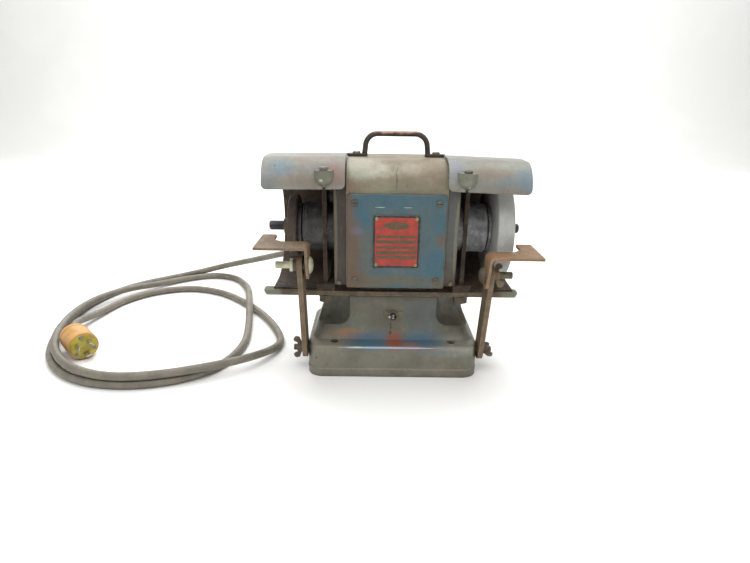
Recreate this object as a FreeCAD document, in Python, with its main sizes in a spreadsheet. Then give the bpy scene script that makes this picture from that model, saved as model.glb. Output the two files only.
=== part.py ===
"""Pedestal-type bench grinder: cast base, guard bar, box motor, two wheels, guards, rests and cord.

Frame: origin at the centre of the four base holes on the underside, +Z up, +X to the operator's right,
the operator stands at -Y.  Millimetres.
"""
import FreeCAD, Part
import math
import os

V = FreeCAD.Vector
doc = FreeCAD.newDocument("bench_grinder")
sheet = doc.addObject("Spreadsheet::Sheet", "dims")
D = {}
NODES = []


def dim(name, value):
    """One driving dimension: a row of the sheet with an alias."""
    row = len(D) + 1
    sheet.set("A%d" % row, name)
    sheet.set("B%d" % row, repr(value))
    sheet.setAlias("B%d" % row, name)
    D[name] = value


for name, value in (
    # cast base: low plinth, concave foot, tapering neck
    ("base_width", 284.0), ("base_depth", 172.0), ("base_height", 56.0), ("base_corner", 25.0),
    ("base_edge", 4.5), ("base_wall", 8.0), ("base_roof", 10.0), ("base_band", 14.0),
    ("band_step", 0.8), ("hole_pitch_x", 196.0), ("hole_pitch_y", 132.0), ("hole_bore", 13.0),
    ("post_radius", 13.5), ("neck_top", 131.0), ("neck_cavity_width", 130.0),
    ("neck_cavity_depth", 76.0), ("neck_cavity_top", 116.0), ("wide_cavity", 208.0),
    ("scoop_radius", 37.0), ("scoop_x", 110.0), ("scoop_y", 50.0), ("scoop_floor", 80.0),
    ("scoop_round", 20.0),
    # toggle switch in the neck
    ("switch_height", 98.0), ("switch_bushing", 6.0), ("lever_lean", 31.0), ("lever_pivot", 58.0),
    ("lever_tilt", 16.0), ("lever_length", 16.6),
    # guard bar and its bolts
    ("bar_left", 216.5), ("bar_right", 208.0), ("bar_front", 50.0), ("bar_back", 60.0),
    ("bar_step_x", 196.0), ("bar_step_y", 29.0), ("bar_thick", 8.5),
    ("bar_corner", 8.0), ("bolt_x", 113.0), ("bolt_y", 38.0), ("bolt_radius", 6.0),
    ("bolt_af", 22.0), ("bolt_head", 10.5), ("bolt_washer", 2.0),
    # motor
    ("shaft_height", 238.0), ("motor_half", 77.0), ("motor_depth", 168.0), ("motor_bottom", 155.0),
    ("motor_top", 354.0), ("motor_corner", 46.0), ("motor_sill", 12.0), ("motor_wall", 4.0),
    ("cover_width", 151.0), ("cover_low", 160.0), ("cover_high", 308.0), ("cover_thick", 3.0),
    ("plate_width", 72.0), ("plate_low", 193.5), ("plate_high", 276.5), ("plate_thick", 1.2),
    ("bell_out", 96.0), ("bell_depth", 162.0), ("bell_low", 158.0), ("bell_high", 349.0),
    ("snout_radius", 40.0), ("snout_out", 150.0), ("bearing_outer", 23.5), ("bearing_bore", 10.0),
    ("bearing_in", 126.5), ("bearing_width", 15.0), ("stator_radius", 79.0), ("stator_bore", 42.6),
    ("stator_length", 72.0), ("rotor_radius", 42.0), ("rotor_length", 76.0),
    # spindle
    ("journal_radius", 9.95), ("journal_end", 152.0), ("arbor_radius", 7.94), ("arbor_end", 209.5),
    ("wheel_radius", 83.0), ("wheel_in", 157.2), ("wheel_width", 25.6), ("flange_radius", 38.0),
    ("worn_radius", 51.0), ("worn_in", 158.5), ("worn_width", 15.0), ("small_flange", 23.0),
    ("nut_af", 24.0), ("nut_thick", 10.0), ("left_nut_thick", 8.0),
    # guards and shields
    ("guard_radius", 98.5), ("guard_sheet", 2.5), ("guard_wall", 6.5), ("guard_in", 110.0),
    ("guard_out", 200.0), ("guard_edge", 97.0), ("guard_front", 42.0), ("guard_bore", 41.2), ("guard_top", 352.0),
    ("shield_radius", 43.0), ("shield_sheet", 2.5), ("shield_axis_y", 54.0),
    ("shield_axis_z", 311.0), ("shield_in", 78.0), ("shield_length", 123.0), ("shield_back", 14.0),
    ("left_droop", 0.9), ("right_droop", 1.8),
    ("left_raise", 3.7), ("right_raise", 2.5), ("right_shift", 3.0),
    ("left_lug_x", 109.0), ("right_lug_x", 105.0), ("lug_y", 92.0), ("lug_radius", 14.0),
    ("lug_top", 340.3), ("lug_low", 318.3),
    # carrying handle
    ("handle_bar", 4.3), ("handle_top", 389.5), ("handle_half", 47.5), ("handle_foot", 51.0),
    ("handle_bend", 20.0), ("foot_thick", 4.5), ("foot_screw_x", 64.0),
    # tool rests on their arms
    ("arm_pivot_y", 66.0), ("arm_pivot_z", 44.0), ("arm_top_y", 96.0), ("arm_radius", 16.0),
    ("arm_in", 142.7), ("arm_thick", 8.0), ("stud_radius", 5.0), ("rest_bolt", 5.5),
    ("run_gap", 0.05), ("left_bolt_z", 199.0), ("right_bolt_z", 186.5), ("left_rise", 34.0),
    ("right_rise", 35.1), ("rest_thick", 4.0), ("left_out", 213.0), ("right_out", 221.0),
    ("left_leg", 133.0), ("right_leg", 138.3), ("rest_front", 122.0), ("rest_back", 42.0), ("left_notch", 83.4),
    ("right_notch", 87.0), ("left_ear", 190.0), ("right_ear", 196.0), ("left_bend", 5.0),
    ("right_bend", 9.5), ("left_bolt_end", 185.0), ("right_bolt_end", 181.0),
    ("left_dome", 6.0), ("right_dome", 9.5), ("wing_span", 20.0),
    # supply cord and plug
    ("cord_radius", 7.0), ("plug_radius", 25.0), ("plug_depth", 58.0), ("plug_x", -539.2),
    ("plug_y", -37.0),
):
    dim(name, value)
doc.recompute()


# ------------------------------------------------------------------ helpers
def plane(body, role):
    """Origin plane or axis of a body."""
    for feature in body.Origin.OriginFeatures:
        if feature.Role == role:
            return feature
    raise ValueError(role)


def new_body(label):
    """PartDesign body whose label is its node name; several separate solids are allowed."""
    body = doc.addObject("PartDesign::Body", label)
    body.Label = label
    if hasattr(body, "AllowCompound"):
        body.AllowCompound = True
    NODES.append(body)
    return body


def sketch(body, role, offset=None):
    """Sketch on one of the body's own origin planes, moved along its normal by an expression."""
    count = len([o for o in doc.Objects if o.TypeId == "Sketcher::SketchObject"])
    sk = body.newObject("Sketcher::SketchObject", "sketch_%03d" % count)
    sk.AttachmentSupport = [(plane(body, role), "")]
    sk.MapMode = "FlatFace"
    if offset is not None:
        sk.setExpression("AttachmentOffset.Base.z", offset)
    return sk


def line(sk, a, b):
    if math.dist(a, b) > 1e-6:
        sk.addGeometry(Part.LineSegment(V(a[0], a[1], 0), V(b[0], b[1], 0)))


def arc(sk, centre, radius, start, end):
    """Counter-clockwise arc, degrees."""
    circle = Part.Circle(V(centre[0], centre[1], 0), V(0, 0, 1), radius)
    sk.addGeometry(Part.ArcOfCircle(circle, math.radians(start), math.radians(end)))


def ring(sk, x, y, radius):
    sk.addGeometry(Part.Circle(V(x, y, 0), V(0, 0, 1), radius))


def outline(sk, corners):
    """Closed outline; each corner is (x, y) or (x, y, rounding)."""
    n = len(corners)
    ends = []
    for i in range(n):
        p = corners[i]
        r = p[2] if len(p) > 2 else 0.0
        if r <= 0:
            ends.append((p[:2], p[:2]))
            continue
        a = corners[i - 1]
        b = corners[(i + 1) % n]
        ua = ((a[0] - p[0]), (a[1] - p[1]))
        ub = ((b[0] - p[0]), (b[1] - p[1]))
        la = math.hypot(*ua)
        lb = math.hypot(*ub)
        ua = (ua[0] / la, ua[1] / la)
        ub = (ub[0] / lb, ub[1] / lb)
        half = math.acos(max(-1.0, min(1.0, ua[0] * ub[0] + ua[1] * ub[1]))) / 2.0
        t = r / math.tan(half)
        c = r / math.sin(half)
        mid = (ua[0] + ub[0], ua[1] + ub[1])
        lm = math.hypot(*mid)
        centre = (p[0] + mid[0] / lm * c, p[1] + mid[1] / lm * c)
        p1 = (p[0] + ua[0] * t, p[1] + ua[1] * t)
        p2 = (p[0] + ub[0] * t, p[1] + ub[1] * t)
        a1 = math.degrees(math.atan2(p1[1] - centre[1], p1[0] - centre[0]))
        a2 = math.degrees(math.atan2(p2[1] - centre[1], p2[0] - centre[0]))
        if (a2 - a1) % 360.0 < 180.0:
            arc(sk, centre, r, a1, a1 + (a2 - a1) % 360.0)
        else:
            arc(sk, centre, r, a2, a2 + (a1 - a2) % 360.0)
        ends.append((p1, p2))
    for i in range(n):
        line(sk, ends[i][1], ends[(i + 1) % n][0])


def box_outline(sk, cx, cy, w, d, r=0.0):
    x0, x1, y0, y1 = cx - w / 2.0, cx + w / 2.0, cy - d / 2.0, cy + d / 2.0
    outline(sk, [(x0, y0, r), (x1, y0, r), (x1, y1, r), (x0, y1, r)])


def hexagon(sk, cx, cy, across, turn=0.0):
    r = across / math.sqrt(3.0)
    corners = []
    for k in range(6):
        a = math.radians(60.0 * k + turn)
        corners.append((cx + r * math.cos(a), cy + r * math.sin(a)))
    outline(sk, corners)


def pad(body, sk, length, reverse=False, middle=False):
    f = body.newObject("PartDesign::Pad", "pad_%03d" % len(doc.Objects))
    f.Profile = sk
    f.setExpression("Length", length)
    f.Reversed = reverse
    f.Midplane = middle
    doc.recompute()
    return f


def pocket(body, sk, depth, reverse=False, middle=False):
    """Pocket that must remove material: the volume is compared."""
    doc.recompute()
    before = body.Shape.Volume
    f = body.newObject("PartDesign::Pocket", "pocket_%03d" % len(doc.Objects))
    f.Profile = sk
    f.setExpression("Length", depth)
    f.Reversed = reverse
    f.Midplane = middle
    doc.recompute()
    if before - body.Shape.Volume < 0.5:
        raise RuntimeError("pocket cuts nothing in " + body.Label)
    return f


def groove(body, sk):
    """Turned cut about the sketch's vertical axis; the volume is compared."""
    doc.recompute()
    before = body.Shape.Volume
    f = body.newObject("PartDesign::Groove", "groove_%03d" % len(doc.Objects))
    f.Profile = sk
    f.ReferenceAxis = (sk, ["V_Axis"])
    f.Angle = 360.0
    doc.recompute()
    if before - body.Shape.Volume < 0.5:
        raise RuntimeError("groove cuts nothing in " + body.Label)
    return f


def revolve(body, sk):
    f = body.newObject("PartDesign::Revolution", "turned_%03d" % len(doc.Objects))
    f.Profile = sk
    f.ReferenceAxis = (sk, ["H_Axis"])
    f.Angle = 360.0
    doc.recompute()
    return f


def fillet(body, base, radius, choose):
    """Fillet on the edges of the base feature that the chooser accepts."""
    names = []
    for i, e in enumerate(base.Shape.Edges):
        if choose(e.BoundBox, e):
            names.append("Edge%d" % (i + 1))
    if not names:
        raise RuntimeError("no edge to round in " + body.Label)
    f = body.newObject("PartDesign::Fillet", "round_%03d" % len(doc.Objects))
    f.Base = (base, names)
    f.setExpression("Radius", radius)
    doc.recompute()
    return f


def span(side, near, far):
    """Start and end along X of something between near and far on one side (+1 right, -1 left)."""
    return (near, far) if side > 0 else (-far, -near)


# ------------------------------------------------------------------ cast base
HX = D["base_width"] / 2.0
HY = D["base_depth"] / 2.0
base = new_body("base_casting")
sk = sketch(base, "XY_Plane")
box_outline(sk, 0, 0, D["base_width"], D["base_depth"], D["base_corner"])
plinth = pad(base, sk, "dims.base_height")
plinth_round = fillet(base, plinth, "dims.base_edge",
                      lambda b, e: b.ZMin > D["base_height"] - 0.01)
# the band cast round the foot of the plinth stands slightly proud
sk = sketch(base, "XY_Plane")
box_outline(sk, 0, 0, D["base_width"] + 2 * D["band_step"], D["base_depth"] + 2 * D["band_step"],
            D["base_corner"] + D["band_step"])
pad(base, sk, "dims.base_band")
# neck: concave at the foot, tapering to the bar
sections = []
for z, half_x, half_y, corner in (
    (48.0, 137.0, 62.0, 21.0), (57.0, 136.5, 59.0, 21.0), (60.0, 135.0, 57.5, 21.0),
    (66.0, 132.5, 55.5, 21.0), (76.0, 129.0, 53.0, 21.0), (92.0, 123.5, 51.0, 21.0),
    (D["neck_top"], 113.0, 49.0, 20.0),
):
    sk = sketch(base, "XY_Plane", "%s" % z if z < 100 else "dims.neck_top")
    box_outline(sk, 0, 0, 2 * half_x, 2 * half_y, corner)
    sections.append(sk)
loft = base.newObject("PartDesign::AdditiveLoft", "neck")
loft.Profile = sections[0]
loft.Sections = sections[1:]
doc.recompute()
# round-bottomed recesses for the guard bolts in the front upper corners of the neck
for side in (-1, 1):
    sk = sketch(base, "XZ_Plane", "dims.scoop_y")
    sk.AttachmentOffset = FreeCAD.Placement(V(side * D["scoop_x"], 0, D["scoop_y"]),
                                            FreeCAD.Rotation())
    high = D["neck_top"] + 6.0
    outline(sk, [(0, D["scoop_floor"]), (D["scoop_radius"], D["scoop_floor"], D["scoop_round"]),
                 (D["scoop_radius"], high), (0, high)])
    groove(base, sk)
# hollow underneath, and up into the neck
sk = sketch(base, "XY_Plane")
box_outline(sk, 0, 0, D["base_width"] - 2 * D["base_wall"], D["base_depth"] - 2 * D["base_wall"],
            D["base_corner"] - D["base_wall"])
pocket(base, sk, "dims.base_height - dims.base_roof", reverse=True)
sk = sketch(base, "XY_Plane")
box_outline(sk, 0, 0, D["neck_cavity_width"], D["neck_cavity_depth"], 12.0)
pocket(base, sk, "dims.neck_cavity_top", reverse=True)
sk = sketch(base, "XY_Plane")
box_outline(sk, 0, 0, D["wide_cavity"], D["neck_cavity_depth"], 12.0)
pocket(base, sk, "dims.scoop_floor - dims.base_roof", reverse=True)
sk = sketch(base, "XY_Plane")
depth = D["neck_cavity_depth"] / 2
box_outline(sk, 0, (depth - 2.0) / 2, D["wide_cavity"], depth + 2.0, 1.5)
pocket(base, sk, "dims.neck_cavity_top - 6", reverse=True)
# posts round the four mounting holes, flush with the underside
sk = sketch(base, "XY_Plane")
for sx in (-1, 1):
    for sy in (-1, 1):
        ring(sk, sx * D["hole_pitch_x"] / 2, sy * D["hole_pitch_y"] / 2, D["post_radius"])
pad(base, sk, "dims.base_height - dims.base_roof + 2")
# bosses behind the side walls that carry the arm studs
for side in (-1, 1):
    a, b = span(side, 118.0, 134.5)
    sk = sketch(base, "YZ_Plane", "%s" % a)
    ring(sk, -D["arm_pivot_y"], D["arm_pivot_z"], 10.0)
    pad(base, sk, "16.5")
sk = sketch(base, "XY_Plane")
for sx in (-1, 1):
    for sy in (-1, 1):
        ring(sk, sx * D["hole_pitch_x"] / 2, sy * D["hole_pitch_y"] / 2, D["hole_bore"] / 2)
pocket(base, sk, "dims.neck_top", reverse=True)
for side in (-1, 1):
    a, b = span(side, 124.0, 144.0)
    sk = sketch(base, "YZ_Plane", "%s" % a)
    ring(sk, -D["arm_pivot_y"], D["arm_pivot_z"], D["stud_radius"])
    pocket(base, sk, "20", reverse=True)
# hole for the switch bushing in the front of the neck
sk = sketch(base, "XZ_Plane", "30")
ring(sk, 0, D["switch_height"], D["switch_bushing"])
pocket(base, sk, "30", reverse=True)

cover = new_body("base_bottom_cover")
sk = sketch(cover, "XY_Plane", "2")
box_outline(sk, 0, 0, D["base_width"] - 2 * D["base_wall"],
            D["base_depth"] - 2 * D["base_wall"], D["base_corner"] - D["base_wall"])
pad(cover, sk, "2")
sk = sketch(cover, "XY_Plane")
for sx in (-1, 1):
    for sy in (-1, 1):
        x = sx * D["hole_pitch_x"] / 2
        y0 = sy * (D["hole_pitch_y"] / 2 - D["post_radius"] - 1.0)
        y1 = sy * (D["base_depth"] / 2 + 4.0)
        w = 2 * D["post_radius"] + 2.0
        box_outline(sk, x, (y0 + y1) / 2, w, abs(y1 - y0))
pocket(cover, sk, "8", reverse=True)

# ------------------------------------------------------------------ toggle switch
plate = new_body("switch_plate")
sk = sketch(plate, "XZ_Plane", "51.3")
box_outline(sk, 0, D["switch_height"], 32.0, 14.0, 2.0)
ring(sk, 0, D["switch_height"], D["switch_bushing"])
pad(plate, sk, "1")

body = new_body("switch_body")
sk = sketch(body, "XZ_Plane", "12")
box_outline(sk, 0, D["switch_height"], 30.0, 18.0, 1.5)
case = pad(body, sk, "25.5")
sk = sketch(body, "XZ_Plane", "37")
ring(sk, 0, D["switch_height"], D["switch_bushing"])
pad(body, sk, "23")
sk = sketch(body, "XZ_Plane", "60.5")
ring(sk, 0, D["switch_height"], 4.4)
pocket(body, sk, "14")

nut = new_body("switch_nut")
sk = sketch(nut, "XZ_Plane", "52.3")
hexagon(sk, 0, D["switch_height"], 15.0, 30.0)
ring(sk, 0, D["switch_height"], D["switch_bushing"])
pad(nut, sk, "2.8")

# bat lever: turned about its own axis, tilted up and leaned to the off side, on an upright pin
lever = new_body("switch_lever")
sk = sketch(lever, "XZ_Plane")
sk.AttachmentOffset = FreeCAD.Placement(V(0, 0, 0), FreeCAD.Rotation(V(0, 0, 1), D["lever_tilt"]))
LL = D["lever_length"]
outline(sk, [(-2.4, 0.0), (-2.4, 1.9, 0.6), (3.6, 1.9), (LL - 1.5, 3.0, 1.5), (LL, 0.0)])
revolve(lever, sk)
sk = sketch(lever, "XY_Plane", "-3.4")
ring(sk, 0, 0, 2.3)
pad(lever, sk, "6.8")
lean = 270.0 - D["lever_lean"]
lever.Placement = FreeCAD.Placement(
    V(0, -D["lever_pivot"], D["switch_height"]), FreeCAD.Rotation(V(0, 0, 1), lean))

# ------------------------------------------------------------------ guard bar and its bolts
bar_z = D["neck_top"]
bar_top = bar_z + D["bar_thick"]
bar = new_body("guard_bar")
sk = sketch(bar, "XY_Plane", "dims.neck_top")
bl, br, step = D["bar_left"], D["bar_right"], D["bar_step_x"]
outline(sk, [(-bl, -D["bar_front"], D["bar_corner"]), (br, -D["bar_front"], D["bar_corner"]),
             (br, -D["bar_step_y"], 4.0), (step, -D["bar_step_y"], 4.0), (step, D["bar_back"], 10.0),
             (-step, D["bar_back"], 10.0), (-step, -D["bar_step_y"], 4.0), (-bl, -D["bar_step_y"], 4.0)])
for side in (-1, 1):
    ring(sk, side * D["bolt_x"], -D["bolt_y"], D["bolt_radius"])
flat = pad(bar, sk, "dims.bar_thick")
fillet(bar, flat, "1.2", lambda b, e: b.ZLength < 0.01 and b.YMax < -D["bar_front"] + 0.01
       and b.XLength > 100)
# both tips are cut back underneath
sk = sketch(bar, "XZ_Plane")
outline(sk, [(-bl - 1.0, bar_z - 1.0), (-bl + 6.0, bar_z - 1.0), (-bl - 1.0, bar_top - 1.0)])
outline(sk, [(br + 1.0, bar_z - 1.0), (br - 6.0, bar_z - 1.0), (br + 1.0, bar_top - 1.0)])
pocket(bar, sk, "200", middle=True)

bolts = new_body("guard_bolts")
sk = sketch(bolts, "XY_Plane", "dims.neck_top - dims.bolt_washer - dims.bolt_head")
for side in (-1, 1):
    hexagon(sk, side * D["bolt_x"], -D["bolt_y"], D["bolt_af"], 30.0)
heads = pad(bolts, sk, "dims.bolt_head")
sk = sketch(bolts, "XY_Plane", "dims.neck_top - dims.bolt_washer")
for side in (-1, 1):
    ring(sk, side * D["bolt_x"], -D["bolt_y"], 13.5)
pad(bolts, sk, "dims.bolt_washer")
sk = sketch(bolts, "XY_Plane", "dims.neck_top")
for side in (-1, 1):
    ring(sk, side * D["bolt_x"], -D["bolt_y"], D["bolt_radius"])
pad(bolts, sk, "18")

foot = new_body("motor_foot")
sk = sketch(foot, "XY_Plane", "dims.neck_top + dims.bar_thick")
box_outline(sk, 0, 0, 120.0, 88.0, 8.0)
pad(foot, sk, "dims.motor_bottom - dims.neck_top - dims.bar_thick")

# ------------------------------------------------------------------ motor
MY = D["motor_depth"] / 2


def motor_profile(sk, inset):
    """Section across the shaft: flat front, back and floor, rounded shoulders."""
    y = MY - inset
    low = D["motor_bottom"] + inset
    high = D["motor_top"] - inset
    outline(sk, [(-y, low, D["motor_sill"] - inset), (y, low, D["motor_sill"] - inset),
                 (y, high, D["motor_corner"] - inset), (-y, high, D["motor_corner"] - inset)])


housing = new_body("motor_housing")
sk = sketch(housing, "YZ_Plane")
motor_profile(sk, 0.0)
motor_profile(sk, D["motor_wall"])
pad(housing, sk, "2 * dims.motor_half", middle=True)
# hole for the cord entry in the back, low on the left
sk = sketch(housing, "XZ_Plane", "-70")
ring(sk, -55.0, 172.0, 10.3)
pocket(housing, sk, "30")

front = new_body("front_cover")
sk = sketch(front, "XZ_Plane", "dims.motor_depth / 2")
box_outline(sk, 0, (D["cover_low"] + D["cover_high"]) / 2, D["cover_width"],
            D["cover_high"] - D["cover_low"], 5.0)
sheet_pad = pad(front, sk, "dims.cover_thick")
fillet(front, sheet_pad, "1.2", lambda b, e: b.YMax < -MY - D["cover_thick"] + 0.01)

screws = new_body("cover_screws")
SCREWS = [(sx * 64.0, z) for sx in (-1, 1) for z in (173.0, 295.0)]
sk = sketch(screws, "XZ_Plane", "dims.motor_depth / 2 + dims.cover_thick")
for x, z in SCREWS:
    ring(sk, x, z, 4.7)
heads = pad(screws, sk, "2.8")
fillet(screws, heads, "1.4", lambda b, e: b.YMax < -MY - D["cover_thick"] - 2.7)
sk = sketch(screws, "XZ_Plane", "dims.motor_depth / 2 - 8")
for x, z in SCREWS:
    ring(sk, x, z, 2.4)
pad(screws, sk, "8 + dims.cover_thick")
sk = sketch(screws, "XZ_Plane", "dims.motor_depth / 2 + dims.cover_thick + 1.6")
for x, z in SCREWS:
    box_outline(sk, x, z, 10.0, 1.3)
pocket(screws, sk, "3", reverse=True)
# holes for the cover screws in the cover and the housing
for owner in (front, housing):
    sk = sketch(owner, "XZ_Plane", "dims.motor_depth / 2 - 10")
    for x, z in SCREWS:
        ring(sk, x, z, 2.45)
    pocket(owner, sk, "20", reverse=True)

name_plate = new_body("nameplate")
sk = sketch(name_plate, "XZ_Plane", "dims.motor_depth / 2 + dims.cover_thick")
box_outline(sk, 0, (D["plate_low"] + D["plate_high"]) / 2, D["plate_width"],
            D["plate_high"] - D["plate_low"], 3.0)
RIVETS = [(sx * 30.5, z) for sx in (-1, 1)
          for z in (D["plate_low"] + 5.0, D["plate_high"] - 5.0)]
for x, z in RIVETS:
    ring(sk, x, z, 1.4)
pad(name_plate, sk, "dims.plate_thick")

rivets = new_body("nameplate_rivets")
sk = sketch(rivets, "XZ_Plane", "dims.motor_depth / 2 + dims.cover_thick + dims.plate_thick")
for x, z in RIVETS:
    ring(sk, x, z, 2.9)
heads = pad(rivets, sk, "1.5")
fillet(rivets, heads, "1.2",
       lambda b, e: b.YMax < -MY - D["cover_thick"] - D["plate_thick"] - 1.4)
sk = sketch(rivets, "XZ_Plane", "dims.motor_depth / 2 + dims.cover_thick")
for x, z in RIVETS:
    ring(sk, x, z, 1.4)
pad(rivets, sk, "dims.plate_thick")

for side, word in ((-1, "left"), (1, "right")):
    # end bell: shallow box closed on its outer side, open to the housing
    bell = new_body("end_bell_" + word)
    a, b = span(side, D["motor_half"], D["bell_out"])
    sk = sketch(bell, "YZ_Plane", "%s" % a)
    y = D["bell_depth"] / 2
    outline(sk, [(-y, D["bell_low"], 12.0), (y, D["bell_low"], 12.0),
                 (y, D["bell_high"], 44.0), (-y, D["bell_high"], 44.0)])
    shell = pad(bell, sk, "dims.bell_out - dims.motor_half")
    edge = (b if side > 0 else a)
    rounded = fillet(bell, shell, "3", lambda bb, e: abs(bb.XMin - edge) < 0.01
                     and abs(bb.XMax - edge) < 0.01)
    a2, b2 = span(side, D["motor_half"], D["bell_out"] - 6.0)
    sk = sketch(bell, "YZ_Plane", "%s" % (a2 if side > 0 else b2))
    outline(sk, [(-y + 5, D["bell_low"] + 5, 8.0), (y - 5, D["bell_low"] + 5, 8.0),
                 (y - 5, D["bell_high"] - 5, 39.0), (-y + 5, D["bell_high"] - 5, 39.0)])
    pocket(bell, sk, "dims.bell_out - dims.motor_half - 6", reverse=(side > 0))
    sk = sketch(bell, "YZ_Plane", "%s" % (b + 1.0))
    ring(sk, 0, D["shaft_height"], 14.0)
    pocket(bell, sk, "40")

bell_screws = new_body("bell_screws")
sk = sketch(bell_screws, "XZ_Plane", "dims.bell_depth / 2")
for side in (-1, 1):
    ring(sk, side * 88.5, 166.0, 3.6)
heads = pad(bell_screws, sk, "2.4")
fillet(bell_screws, heads, "1", lambda b, e: b.YMax < -D["bell_depth"] / 2 - 2.3)
sk = sketch(bell_screws, "XZ_Plane", "dims.bell_depth / 2 - 4.5")
for side in (-1, 1):
    ring(sk, side * 88.5, 166.0, 1.9)
pad(bell_screws, sk, "4.5")
for side, word in ((-1, "left"), (1, "right")):
    owner = doc.getObject("end_bell_" + word)
    sk = sketch(owner, "XZ_Plane", "dims.bell_depth / 2 + 1")
    ring(sk, side * 88.5, 166.0, 1.9)
    pocket(owner, sk, "8")

for side, word in ((-1, "left"), (1, "right")):
    # bearing housing: round snout between the end bell and the wheel flange
    snout = new_body("bearing_housing_" + word)
    sk = sketch(snout, "XY_Plane")
    a = side * D["bell_out"]
    b = side * D["snout_out"]
    seat = side * D["bearing_in"]
    seat_end = side * (D["bearing_in"] + D["bearing_width"])
    r = D["snout_radius"]
    outline(sk, [(a, 13.0), (a, r), (b - side * 7, r), (b - side * 7, r + 0.9), (b - side * 1.2, r + 0.9),
                 (b, r - 0.4), (b, 13.0), (seat_end, 13.0), (seat_end, D["bearing_outer"]),
                 (seat, D["bearing_outer"]), (seat, 13.0)])
    revolve(snout, sk)
    snout.Placement = FreeCAD.Placement(V(0, 0, D["shaft_height"]), FreeCAD.Rotation())
    snout.setExpression("Placement.Base.z", "dims.shaft_height")

rings = new_body("ball_bearings")
sk = sketch(rings, "XY_Plane")
for side in (-1, 1):
    a, b = span(side, D["bearing_in"], D["bearing_in"] + D["bearing_width"])
    box_outline(sk, (a + b) / 2, (D["bearing_bore"] + D["bearing_outer"]) / 2, b - a,
                D["bearing_outer"] - D["bearing_bore"], 1.0)
revolve(rings, sk)
rings.setExpression("Placement.Base.z", "dims.shaft_height")

stator = new_body("stator_core")
sk = sketch(stator, "YZ_Plane")
ring(sk, 0, 0, D["stator_radius"])
ring(sk, 0, 0, D["stator_bore"])
pad(stator, sk, "dims.stator_length", middle=True)
stator.setExpression("Placement.Base.z", "dims.shaft_height")

coils = new_body("stator_windings")
sk = sketch(coils, "XY_Plane")
for side in (-1, 1):
    a, b = span(side, D["stator_length"] / 2, D["stator_length"] / 2 + 22.0)
    box_outline(sk, (a + b) / 2, 60.0, b - a, 26.0, 7.0)
revolve(coils, sk)
coils.setExpression("Placement.Base.z", "dims.shaft_height")

# ------------------------------------------------------------------ spindle
shaft = new_body("shaft")
sk = sketch(shaft, "XY_Plane")
J, JE, A, AE = D["journal_radius"], D["journal_end"], D["arbor_radius"], D["arbor_end"]
outline(sk, [(-AE, 0), (-AE, A - 1.6), (-AE + 1.6, A), (-JE, A), (-JE, J), (JE, J), (JE, A),
             (AE - 1.6, A), (AE, A - 1.6), (AE, 0)])
revolve(shaft, sk)
shaft.setExpression("Placement.Base.z", "dims.shaft_height")

rotor = new_body("rotor_core")
sk = sketch(rotor, "YZ_Plane")
ring(sk, 0, 0, D["rotor_radius"])
ring(sk, 0, 0, J)
pad(rotor, sk, "dims.rotor_length", middle=True)
rotor.setExpression("Placement.Base.z", "dims.shaft_height")


def disc(label, side, near, far, radius, bore, edge=0.6, relief=0.0, hub=0.0):
    """Flange or wheel on the arbor between near and far, edges broken; relief dishes the near face."""
    b = new_body(label)
    sk = sketch(b, "XY_Plane")
    x0, x1 = side * near, side * far
    e = side * edge
    if relief > 0:
        ring_r = radius - 6.0
        outline(sk, [(x0, bore), (x0, hub), (x0 + side * relief, hub), (x0 + side * relief, ring_r),
                     (x0, ring_r), (x0, radius - edge), (x0 + e, radius), (x1 - e, radius),
                     (x1, radius - edge), (x1, bore)])
    else:
        outline(sk, [(x0, bore), (x0, radius - edge), (x0 + e, radius), (x1 - e, radius),
                     (x1, radius - edge), (x1, bore)])
    revolve(b, sk)
    b.setExpression("Placement.Base.z", "dims.shaft_height")
    return b


W0 = D["wheel_in"]
W1 = W0 + D["wheel_width"]
L0 = D["worn_in"]
L1 = L0 + D["worn_width"]
disc("inner_flange_left", -1, D["journal_end"], L0, D["flange_radius"], A, 1.0)
disc("inner_flange_right", 1, D["journal_end"], W0, D["flange_radius"], A, 1.0)
disc("wheel_left", -1, L0, L1, D["worn_radius"], A, 2.0)
disc("wheel_right", 1, W0, W1, D["wheel_radius"], A, 1.2)
disc("outer_flange_left", -1, L1, L1 + 3.0, D["small_flange"], A, 0.8)
disc("outer_flange_right", 1, W1, W1 + 5.0, D["flange_radius"] - 2.0, A, 1.2)
for side, word, start, thick in ((-1, "left", L1 + 3.0, "left_nut_thick"),
                                 (1, "right", W1 + 5.0, "nut_thick")):
    nut = new_body("arbor_nut_" + word)
    a, b = span(side, start, start + D[thick])
    sk = sketch(nut, "YZ_Plane", "%s" % a)
    hexagon(sk, 0, 0, D["nut_af"], 0.0)
    ring(sk, 0, 0, A)
    pad(nut, sk, "dims." + thick)
    nut.setExpression("Placement.Base.z", "dims.shaft_height")

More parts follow.
